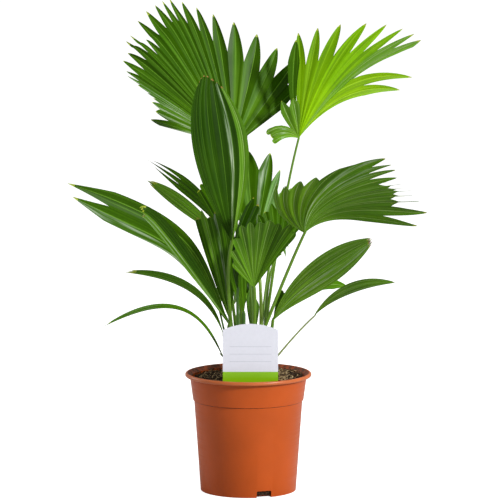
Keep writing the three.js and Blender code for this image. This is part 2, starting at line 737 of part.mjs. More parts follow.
const group = new THREE.Group();
group.add(potMesh(), soilMesh(), labelMesh());
for (const [name, place] of Object.entries(STEMS)) group.add(stemMesh(`stem_${name}`, place));
FRONDS.forEach((frond, i) => group.add(frondMesh(frond, i)));

export default group;
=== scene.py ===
"""A young Chinese fan palm in its nursery pot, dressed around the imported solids.

Sizes are millimetres, turned into metres by MM, in the frame of the solids: +Z up, the origin at the
centre of the pot's underside, -Y towards the front. Every frond grows by the same rule as its solid:
a stalk from its stem to its hub, and blades whose leaflets are joined as far as a split.
"""

import logging
import math
from dataclasses import dataclass, field
from enum import Enum
from functools import partial
from typing import Callable, Optional, Sequence

import bpy
import numpy as np
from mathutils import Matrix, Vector


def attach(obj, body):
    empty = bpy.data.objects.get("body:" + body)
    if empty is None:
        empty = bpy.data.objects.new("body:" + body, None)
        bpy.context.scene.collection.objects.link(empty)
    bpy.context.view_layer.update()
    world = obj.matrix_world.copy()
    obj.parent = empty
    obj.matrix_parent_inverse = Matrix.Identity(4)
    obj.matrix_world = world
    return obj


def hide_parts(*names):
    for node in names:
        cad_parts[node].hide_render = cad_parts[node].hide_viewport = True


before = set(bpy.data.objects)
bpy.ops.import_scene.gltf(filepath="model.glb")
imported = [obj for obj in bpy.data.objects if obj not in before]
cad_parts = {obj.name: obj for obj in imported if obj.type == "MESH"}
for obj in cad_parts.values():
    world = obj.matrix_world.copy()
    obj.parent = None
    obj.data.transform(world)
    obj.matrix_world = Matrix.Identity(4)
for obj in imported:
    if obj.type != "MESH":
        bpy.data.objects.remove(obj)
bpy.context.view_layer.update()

MM = 0.001
BODY = "root"
Point = tuple[float, float, float]
Colour = tuple[float, float, float, float]
log = logging.getLogger("fan_palm")


def srgb(code: str) -> Colour:
    """Turns a display colour into the linear colour that a shader takes.

    Args:
        code: six hexadecimal digits.

    Returns:
        Linear red, green, blue and alpha.
    """
    shares = [int(code[i : i + 2], 16) / 255 for i in (0, 2, 4)]
    linear = [s / 12.92 if s <= 0.04045 else ((s + 0.055) / 1.055) ** 2.4 for s in shares]
    return (linear[0], linear[1], linear[2], 1.0)


def shaded(colour: Colour, gain: float) -> Colour:
    """Returns the colour made lighter or darker by gain."""
    return (colour[0] * gain, colour[1] * gain, colour[2] * gain, 1.0)


def mixed(first: Colour, second: Colour, share: float) -> Colour:
    """Returns the colour a share of the way from the first to the second."""
    red, green, blue = (a + (b - a) * share for a, b in zip(first[:3], second[:3]))
    return (red, green, blue, 1.0)


# ---- finishes ----------------------------------------------------------------------------------

WHITE: Colour = (1.0, 1.0, 1.0, 1.0)
WHOLLY = 1.0


def made_once(name: str, make: Callable[[], bpy.types.Material]) -> bpy.types.Material:
    """Returns the material of that name, made now if it isn't there yet."""
    return bpy.data.materials.get(name) or make()


class Shader:
    """One material, and short names for adding and joining its nodes."""

    def __init__(self, name: str) -> None:
        """Makes the material with a principled surface and nothing else."""
        self.material = bpy.data.materials.new(name)
        self.material.use_nodes = True
        self.tree = self.material.node_tree
        self.tree.nodes.clear()
        self.surface = self.tree.nodes.new("ShaderNodeBsdfPrincipled")
        output = self.tree.nodes.new("ShaderNodeOutputMaterial")
        self.tree.links.new(self.surface.outputs["BSDF"], output.inputs["Surface"])

    def _feed(self, socket: bpy.types.NodeSocket, value: object) -> None:
        """Links a value to a socket where it is a socket itself, and otherwise sets it."""
        if isinstance(value, bpy.types.NodeSocket):
            self.tree.links.new(value, socket)
        else:
            socket.default_value = value

    def set(self, **sockets: object) -> None:
        """Sets or links the surface's own sockets, named with underscores for spaces."""
        for name, value in sockets.items():
            self._feed(self.surface.inputs[name.replace("_", " ")], value)

    def noise(self, kind: str, stretch: Point, scale: float, detail: float) -> bpy.types.NodeSocket:
        """Returns a noise value from 0 to 1.

        Args:
            kind: the coordinates it reads, Object or UV.
            stretch: how the coordinates are scaled.
            scale: the noise's own scale.
            detail: how many finer layers it has.
        """
        source = self.tree.nodes.new("ShaderNodeTexCoord")
        mapping = self.tree.nodes.new("ShaderNodeMapping")
        mapping.inputs["Scale"].default_value = stretch
        self.tree.links.new(source.outputs[kind], mapping.inputs["Vector"])
        node = self.tree.nodes.new("ShaderNodeTexNoise")
        node.inputs["Scale"].default_value = scale
        node.inputs["Detail"].default_value = detail
        self.tree.links.new(mapping.outputs["Vector"], node.inputs["Vector"])
        return node.outputs["Fac"]

    def grain(self, scale: float, detail: float) -> bpy.types.NodeSocket:
        """Returns noise that is as fine in all directions."""
        return self.noise("Object", (1.0, 1.0, 1.0), scale, detail)

    def streaks(self, across: float, along: float, detail: float) -> bpy.types.NodeSocket:
        """Returns noise drawn out along a leaflet or stalk."""
        return self.noise("UV", (across, along, 1.0), 1.0, detail)

    def along(self) -> bpy.types.NodeSocket:
        """Returns the place along a leaflet or stalk: the second of its own UV coordinates."""
        source = self.tree.nodes.new("ShaderNodeTexCoord")
        parts = self.tree.nodes.new("ShaderNodeSeparateXYZ")
        self.tree.links.new(source.outputs["UV"], parts.inputs[0])
        return parts.outputs["Y"]

    def ramp(self, value: bpy.types.NodeSocket, *stops: tuple[float, Colour]) -> bpy.types.NodeSocket:
        """Turns a value into a colour by stops of place and colour, in rising order."""
        node = self.tree.nodes.new("ShaderNodeValToRGB")
        elements = node.color_ramp.elements
        while len(elements) < len(stops):
            elements.new(0.5)
        for element, (place, colour) in zip(elements, stops):
            element.position = place
            element.color = colour
        self.tree.links.new(value, node.inputs["Fac"])
        return node.outputs["Color"]

    def gains(
        self, value: bpy.types.NodeSocket, skin: Colour, *stops: tuple[float, float]
    ) -> bpy.types.NodeSocket:
        """Turns a value into shades of one colour by stops of place and gain."""
        return self.ramp(value, *((place, shaded(skin, gain)) for place, gain in stops))

    def blend(
        self, share: object, first: object, second: object, kind: str = "MIX"
    ) -> bpy.types.NodeSocket:
        """Mixes two colours or sockets by a share, a number or socket itself."""
        node = self.tree.nodes.new("ShaderNodeMix")
        node.data_type = "RGBA"
        node.blend_type = kind
        for socket, value in ((0, share), (6, first), (7, second)):
            self._feed(node.inputs[socket], value)
        return node.outputs[2]

    def arithmetic(self, operation: str, first: object, second: object) -> bpy.types.NodeSocket:
        """Returns one sum, product or other operation on two values or sockets."""
        node = self.tree.nodes.new("ShaderNodeMath")
        node.operation = operation
        for socket, value in ((0, first), (1, second)):
            self._feed(node.inputs[socket], value)
        return node.outputs[0]

    def finished(
        self, height: bpy.types.NodeSocket, depth: float, strength: float, **sockets: object
    ) -> bpy.types.Material:
        """Sets the surface, gives it a bump and returns the material.

        Args:
            height: the bump's pattern, from 0 to 1.
            depth: its depth, in metres.
            strength: how strongly it shows.
            sockets: the surface's own sockets, as for set.
        """
        self.set(**sockets)
        node = self.tree.nodes.new("ShaderNodeBump")
        node.inputs["Distance"].default_value = depth
        node.inputs["Strength"].default_value = strength
        self.tree.links.new(height, node.inputs["Height"])
        self.tree.links.new(node.outputs["Normal"], self.surface.inputs["Normal"])
        return self.material


@dataclass(frozen=True)
class LeafFinish:
    """A leaf's waxy green skin, streaked along its veins."""

    slot: str
    lamina: str
    rib: str
    roughness: float = 0.34
    coat: float = 0.03
    specular: float = 0.15
    # The pale colour of the painted highlight, mixed into the skin where a leaflet would reflect the light.
    painted_shine_colour: str = "c8dcc0"
    tones: tuple[float, ...] = (0.84, 1.0, 1.18)
    vein_pitch: float = 2.6
    thread_pitch: float = 6.5
    patch_pitch: float = 30.0

    def lamina_name(self, tone: float) -> str:
        """Returns the name of the skin's material in a tone."""
        return f"{self.slot}_lamina_{round(100 * tone)}"

    def lamina_shader(self, tone: float) -> bpy.types.Material:
        """Makes the skin between the ribs, in one of the leaf's tones."""
        skin = shaded(srgb(self.lamina), tone)
        return self._skin(self.lamina_name(tone), (
            (0.34, shaded(skin, 0.6)),
            (0.46, shaded(skin, 0.92)),
            (0.55, shaded(skin, 1.16)),
            (0.64, mixed(skin, srgb(self.rib), 0.55)),
        ), 0.9)

    def painted_sheen_shader(self) -> bpy.types.Material:
        """Makes the skin with a painted highlight: pale streaks in its colour that stand in for reflected
        light.
        """
        skin, painted_shine_colour = srgb(self.lamina), srgb(self.painted_shine_colour)
        return self._skin(f"{self.slot}_sheen", (
            (0.36, shaded(skin, 0.8)),
            (0.46, shaded(skin, 1.15)),
            (0.53, mixed(skin, painted_shine_colour, 0.25)),
            (0.62, mixed(skin, painted_shine_colour, 0.6)),
        ), 3.2)

    def _skin(
        self, name: str, stops: Sequence[tuple[float, Colour]], breaks: float
    ) -> bpy.types.Material:
        """Makes a waxy skin whose colour runs in streaks along its veins, paler near the hub: partly the
        leaf's own paler base, partly painted light where the lower blades lie lit.

        Args:
            name: the material's name.
            stops: the streaks' places and colours, from the darkest up.
            breaks: how often the streaks change along a leaflet.
        """
        shader = Shader(name)
        veins = shader.streaks(self.vein_pitch, breaks, 2.0)
        threads = shader.streaks(self.thread_pitch, 0.8 * breaks, 2.0)
        patches = shader.grain(self.patch_pitch, 3.0)
        halves = [shader.arithmetic("MULTIPLY", part, 0.5) for part in (veins, threads)]
        streaks = shader.arithmetic("ADD", *halves)
        tint = shader.ramp(patches, (0.3, (0.8, 0.86, 0.7, 1.0)), (0.7, (1.1, 1.06, 1.1, 1.0)))
        # Paler near the hub: partly the leaf's own colour, partly painted light for the lit lower part of
        # the blades.
        paler = shader.ramp(shader.along(), (0.2, (1.36, 1.26, 1.2, 1.0)), (0.62, WHITE))
        skin = shader.blend(WHOLLY, shader.ramp(streaks, *stops), tint, "MULTIPLY")
        polish = shader.arithmetic("MULTIPLY", streaks, 0.3)
        return shader.finished(
            streaks, 0.4 * MM, 0.8,
            Base_Color=shader.blend(WHOLLY, skin, paler, "MULTIPLY"),
            Roughness=shader.arithmetic("ADD", polish, self.roughness - 0.15),
            Coat_Weight=self.coat,
            Coat_Roughness=0.28,
            Specular_IOR_Level=self.specular,
        )

    def rib_shader(self) -> bpy.types.Material:
        """Makes the paler skin of a leaflet's rib."""
        shader = Shader(f"{self.slot}_rib")
        along = shader.streaks(9.0, 5.0, 2.0)
        return shader.finished(
            along, 0.15 * MM, 0.5,
            Base_Color=shader.gains(along, srgb(self.rib), (0.3, 0.82), (0.7, 1.15)),
            Roughness=self.roughness + 0.06,
            Coat_Weight=self.coat,
            Coat_Roughness=0.3,
            Specular_IOR_Level=self.specular,
        )


@dataclass(frozen=True)
class TipFinish:
    """The end of a leaflet where it yellows or dries."""

    name: str
    colour: str
    roughness: float

    def shader(self) -> bpy.types.Material:
        """Makes the material, mottled along the veins."""
        shader = Shader(self.name)
        mottle = shader.streaks(30.0, 16.0, 3.0)
        return shader.finished(
            mottle, 0.2 * MM, 0.6,
            Base_Color=shader.gains(mottle, srgb(self.colour), (0.3, 0.7), (0.7, 1.25)),
            Roughness=self.roughness,
        )


@dataclass(frozen=True)
class StalkFinish:
    """A stalk's smooth skin, ribbed along its length."""

    name: str
    colour: str
    foot: str

    def shader(self) -> bpy.types.Material:
        """Makes the material, browner towards the stalk's foot."""
        shader = Shader(self.name)
        lines = shader.streaks(14.0, 1.6, 3.0)
        green = shader.gains(lines, srgb(self.colour), (0.3, 0.78), (0.7, 1.22))
        low = shader.gains(shader.along(), WHITE, (0.0, 1.0), (0.12, 0.0))
        skin = shader.blend(low, green, srgb(self.foot))
        return shader.finished(lines, 0.2 * MM, 0.6, Base_Color=skin, Roughness=0.42, Coat_Weight=0.1)


@dataclass(frozen=True)
class PotFinish:
    """Terracotta-coloured moulded plastic with a soft gloss."""

    colour: str = "c35416"
    # The lip edge's paler colour: partly wear, partly a painted highlight.
    worn: str = "cc6a34"
    # The dark peat colour of the inside finish, which also serves as painted shade and a painted shadow
    # line.
    dust_and_shade: str = "54290f"

    def wall(self) -> bpy.types.Material:
        """Makes the plastic of the walls, faintly clouded and grained."""
        shader = Shader("pot_plastic")
        clouds = shader.grain(16.0, 3.0)
        grain = shader.grain(900.0, 2.0)
        rings = shader.noise("Object", (0.6, 0.6, 60.0), 6.0, 2.0)
        height = shader.arithmetic("ADD", shader.arithmetic("MULTIPLY", grain, 0.35), rings)
        return shader.finished(
            height, 0.12 * MM, 0.35,
            Base_Color=shader.gains(clouds, srgb(self.colour), (0.35, 0.93), (0.65, 1.05)),
            Roughness=shader.gains(rings, WHITE, (0.3, 0.3), (0.7, 0.42)),
            Specular_IOR_Level=0.3,
        )

    def rim(self) -> bpy.types.Material:
        """Makes the paler plastic along the lip's edge, partly worn by rubbing and partly a painted
        highlight.
        """
        shader = Shader("pot_rim")
        clouds = shader.grain(60.0, 4.0)
        return shader.finished(
            clouds, 0.05 * MM, 0.3,
            Base_Color=shader.gains(clouds, srgb(self.worn), (0.3, 0.95), (0.75, 1.05)), Roughness=0.34
        )

    def inside(self) -> bpy.types.Material:
        """Makes the plastic of the inner wall, dusted with peat and darkened as painted shade, which also
        paints a shadow line under the ledges.
        """
        shader = Shader("pot_inside")
        dust_and_shade = shader.grain(180.0, 4.0)
        # The wall's colour darkened as painted shade inside the pot.
        shaded_wall = shaded(srgb(self.colour), 0.62)
        return shader.finished(
            dust_and_shade, 0.1 * MM, 0.4,
            Base_Color=shader.ramp(dust_and_shade, (0.4, srgb(self.dust_and_shade)), (0.62, shaded_wall)), Roughness=0.6
        )


@dataclass(frozen=True)
class SoilFinish:
    """One kind of crumb or fibre in the potting soil or round the stems."""

    name: str
    dark: str
    light: str
    grain: float = 420.0

    def shader(self) -> bpy.types.Material:
        """Makes the dry, matt material."""
        shader = Shader(self.name)
        crumbs = shader.grain(self.grain, 5.0)
        return shader.finished(
            crumbs, 0.8 * MM, 1.0,
            Base_Color=shader.ramp(crumbs, (0.35, srgb(self.dark)), (0.68, srgb(self.light))),
            Roughness=0.95,
            Specular_IOR_Level=0.2,
        )


@dataclass(frozen=True)
class CardFinish:
    """One printed ink, or the bare face, of the label card."""

    name: str
    colour: str
    roughness: float = 0.32

    def shader(self) -> bpy.types.Material:
        """Makes the smooth coated card."""
        shader = Shader(self.name)
        fibres = shader.grain(260.0, 3.0)
        return shader.finished(
            fibres, 0.05 * MM, 0.3,
            Base_Color=shader.gains(fibres, srgb(self.colour), (0.3, 0.97), (0.7, 1.0)),
            Roughness=self.roughness,
            Coat_Weight=0.15,
        )


class Green(Enum):
    """The greens that the fronds are dealt."""

    DEEP = LeafFinish("leaf_deep", "284c00", "4a7418", coat=0.0, specular=0.1, roughness=0.42)
    DARK = LeafFinish("leaf_dark", "3c6600", "6a9a2c", coat=0.0, specular=0.1, roughness=0.42)
    MID = LeafFinish("leaf_mid", "588a12", "93b95c")
    FRESH = LeafFinish("leaf_fresh", "64961c", "a0c270")
    BRIGHT = LeafFinish("leaf_bright", "70a200", "88b61a", roughness=0.42, coat=0.0, specular=0.1)
    # LIT is painted light: a brighter green standing in for light on tips that face away from the lamps.
    LIT = LeafFinish("leaf_lit", "86b802", "a2cc2a", roughness=0.42, coat=0.0, specular=0.1)
    PALE = LeafFinish("leaf_pale", "6a964c", "a8c490", roughness=0.48, coat=0.0)


class StalkGreen(Enum):
    """The greens that the stalks are dealt."""

    GREEN = StalkFinish("stalk_green", "648e16", "7c7438")
    LIME = StalkFinish("stalk_lime", "86a834", "8f8442")
    PALE = StalkFinish("stalk_pale", "a8b878", "97905a")
    DARK = StalkFinish("stalk_dark", "3f6a18", "6a5c30")


YELLOWED = TipFinish("leaf_tip_yellowed", "a2b424", 0.5)
DRIED = TipFinish("leaf_tip_dried", "9c7434", 0.75)


# ---- meshes from arrays ------------------------------------------------------------------------


def side_faces(count: int, sides: int) -> list[tuple[int, ...]]:
    """Returns the faces between rings of points that follow one another.

    Args:
        count: how many rings there are.
        sides: how many points each has.

    Returns:
        Four indices for each face, outward where the rings turn anticlockwise as seen from the last.
    """
    faces: list[tuple[int, ...]] = []
    for low in range(0, (count - 1) * sides, sides):
        high = low + sides
        for a in range(sides):
            b = (a + 1) % sides
            faces.append((low + a, low + b, high + b, high + a))
    return faces


@dataclass
class MeshDraft:
    """Points, faces, finishes and UVs gathered for one joined mesh."""

    points: list[np.ndarray] = field(default_factory=list)
    uvs: list[np.ndarray] = field(default_factory=list)
    faces: list[tuple[int, ...]] = field(default_factory=list)
    finishes: list[int] = field(default_factory=list)
    count: int = 0

    def add(self, points: np.ndarray, uvs: np.ndarray, faces: Sequence, finishes: Sequence[int]) -> None:
        """Adds one closed shape.

        Args:
            points: its points, one row each.
            uvs: one UV for each point.
            faces: tuples of indices into points.
            finishes: one material index for each face.
        """
        shift = self.count
        self.points.append(np.asarray(points, float))
        self.uvs.append(np.asarray(uvs, float))
        self.faces.extend(tuple(int(i) + shift for i in face) for face in faces)
        self.finishes.extend(int(f) for f in finishes)
        self.count += len(points)

    def tube(self, rings: np.ndarray, finish: int = 0) -> None:
        """Adds a closed tube.

        Args:
            rings: its rings of points, from one end to the other. The faces look outward where a ring
                turns anticlockwise as seen from the last one.
            finish: its material index.
        """
        count, sides = rings.shape[:2]
        top = (count - 1) * sides
        faces = [tuple(range(sides - 1, -1, -1)), tuple(range(top, top + sides))]
        faces += side_faces(count, sides)
        self.add(rings.reshape(-1, 3), np.zeros((count * sides, 2)), faces, [finish] * len(faces))

    def build(self, name: str, materials: Sequence[bpy.types.Material], crease: float) -> bpy.types.Object:
        """Turns the draft into an object.

        Args:
            name: the piece's name.
            materials: its materials, in the order of the finishes.
            crease: the angle in degrees above which an edge stays sharp.

        Returns:
            The new object, at the origin.
        """
        points = np.concatenate(self.points)
        uvs = np.concatenate(self.uvs)
        mesh = bpy.data.meshes.new(name)
        mesh.from_pydata(points.tolist(), [], self.faces)
        for material in materials:
            mesh.materials.append(material)
        mesh.polygons.foreach_set("material_index", self.finishes)
        mesh.polygons.foreach_set("use_smooth", [True] * len(self.faces))
        corners = np.empty(len(mesh.loops), dtype=np.int32)
        mesh.loops.foreach_get("vertex_index", corners)
        layer = mesh.uv_layers.new(name="UVMap")
        layer.data.foreach_set("uv", uvs[corners].astype(np.float32).ravel())
        mesh.set_sharp_from_angle(angle=math.radians(crease))
        mesh.update()
        obj = bpy.data.objects.new(name, mesh)
        bpy.context.scene.collection.objects.link(obj)
        return obj


def shell(front: np.ndarray, back: np.ndarray, faces: Sequence, finishes: Sequence[int]) -> tuple:
    """Closes a sheet and its copy into a thin shell.

    Args:
        front: the front sheet's points.
        back: the same points on the back sheet.
        faces: the front sheet's faces.
        finishes: their material indices.

    Returns:
        All points, all faces and all material indices.
    """
    shift = len(front)
    owner: dict[tuple[int, int], int] = {}
    for face, finish in zip(faces, finishes):
        for a, b in zip(face, (*face[1:], face[0])):
            owner[(a, b)] = finish
    closed = [tuple(face) for face in faces]
    closed += [tuple(i + shift for i in reversed(face)) for face in faces]
    shades = list(finishes) + list(finishes)
    for (a, b), finish in owner.items():
        if (b, a) not in owner:
            closed.append((b, a, a + shift, b + shift))
            shades.append(finish)
    return np.concatenate([front, back]), closed, shades


# ---- the fronds' shared rule -------------------------------------------------------------------

NOWHERE = (2.0, 2.0)
FRONT = np.array([0.0, -1.0, 0.0])


@dataclass(frozen=True)
class BladeSizes:
    """The sizes of one blade.

    Attributes:
        tip: the point its spine ends at.
        leaflets: how many leaflets it is folded into.
        spread: the leaflets' angles from the spine, in degrees, from edge to edge.
        via: up to two handles of the spine.
        reach: the leaflets' lengths over the spine's.
        split: how far along they are joined.
        lean: how far they lean out of the blade's plane, in degrees.
        face: where the upper side looks: degrees to the right of the front, and up.
        pinch: how much the spread closes towards the tip.
        cup: how far the sides curl towards the face.
        pleat: depth of a fold over half a leaflet's width.
        wave: how far the leaflets' lengths vary.
        yellow: how far from the tip the leaflets have yellowed, as a share of their length.
        dry: how far from the tip they have dried.
        fork: depth of the cleft in a leaflet's tip, in millimetres.
        blunt: whether the leaflets' ends are round, not pointed.
        threads: the places between which a leaflet's end has worn down to a thread.
        green: its own green, where that isn't the frond's.
        accent: the places between which a leaflet has the accent's green.
        accent_green: that green.
        painted_sheen: the places between which one side of a leaflet has a painted highlight, pale streaks
            in its colour.
    """

    tip: Point
    leaflets: int
    spread: tuple[float, ...]
    via: tuple[Point, ...] = ()
    reach: tuple[float, ...] = (1.0,)
    split: tuple[float, ...] = (0.9,)
    lean: tuple[float, ...] = (0.0,)
    face: tuple[float, float] = (0.0, 0.0)
    pinch: float = 0.0
    cup: float = 0.0
    pleat: float = 0.25
    wave: float = 0.04
    yellow: float = 0.012
    dry: float = 0.0
    fork: float = 0.6
    blunt: bool = False
    threads: tuple[float, float] = NOWHERE
    green: Optional[Green] = None
    accent: tuple[float, float] = NOWHERE
    accent_green: Optional[Green] = None
    painted_sheen: tuple[float, float] = NOWHERE


@dataclass(frozen=True)
class FrondSizes:
    """The sizes of one frond.

    Attributes:
        name: the frond's node.
        stem: the stem it grows on.
        side: the side of the stem, in degrees from +X.
        foot: the height of its foot.
        stalk: a point half way along the stalk.
        hub: the point where its blades begin.
        radii: the stalk's radius at its foot and at the hub.
        green: the blades' green.
        stalk_green: the stalk's green.
        blades: its blades.
        hairs: how many loose fibres hang from its notches.
    """

    name: str
    stem: str
    side: float
    foot: float
    stalk: Point
    hub: Point
    radii: tuple[float, float]
    green: Green
    stalk_green: StalkGreen
    blades: tuple[BladeSizes, ...]
    hairs: int = 0


STEM_HEIGHT, STEM_FOOT, STEM_TOP = 22.0, 5.5, 3.5
SOIL_TOP = 153.6
GAP = 0.3
CARD_X, CARD_Y = 2.9, -60.0
STEMS: dict[str, tuple[float, float]] = {
    "left": (-22, -3),
    "front": (-4, -12),
    "right": (20, -4),
    "back_right": (12, 12),
    "back_left": (-10, 14),
}

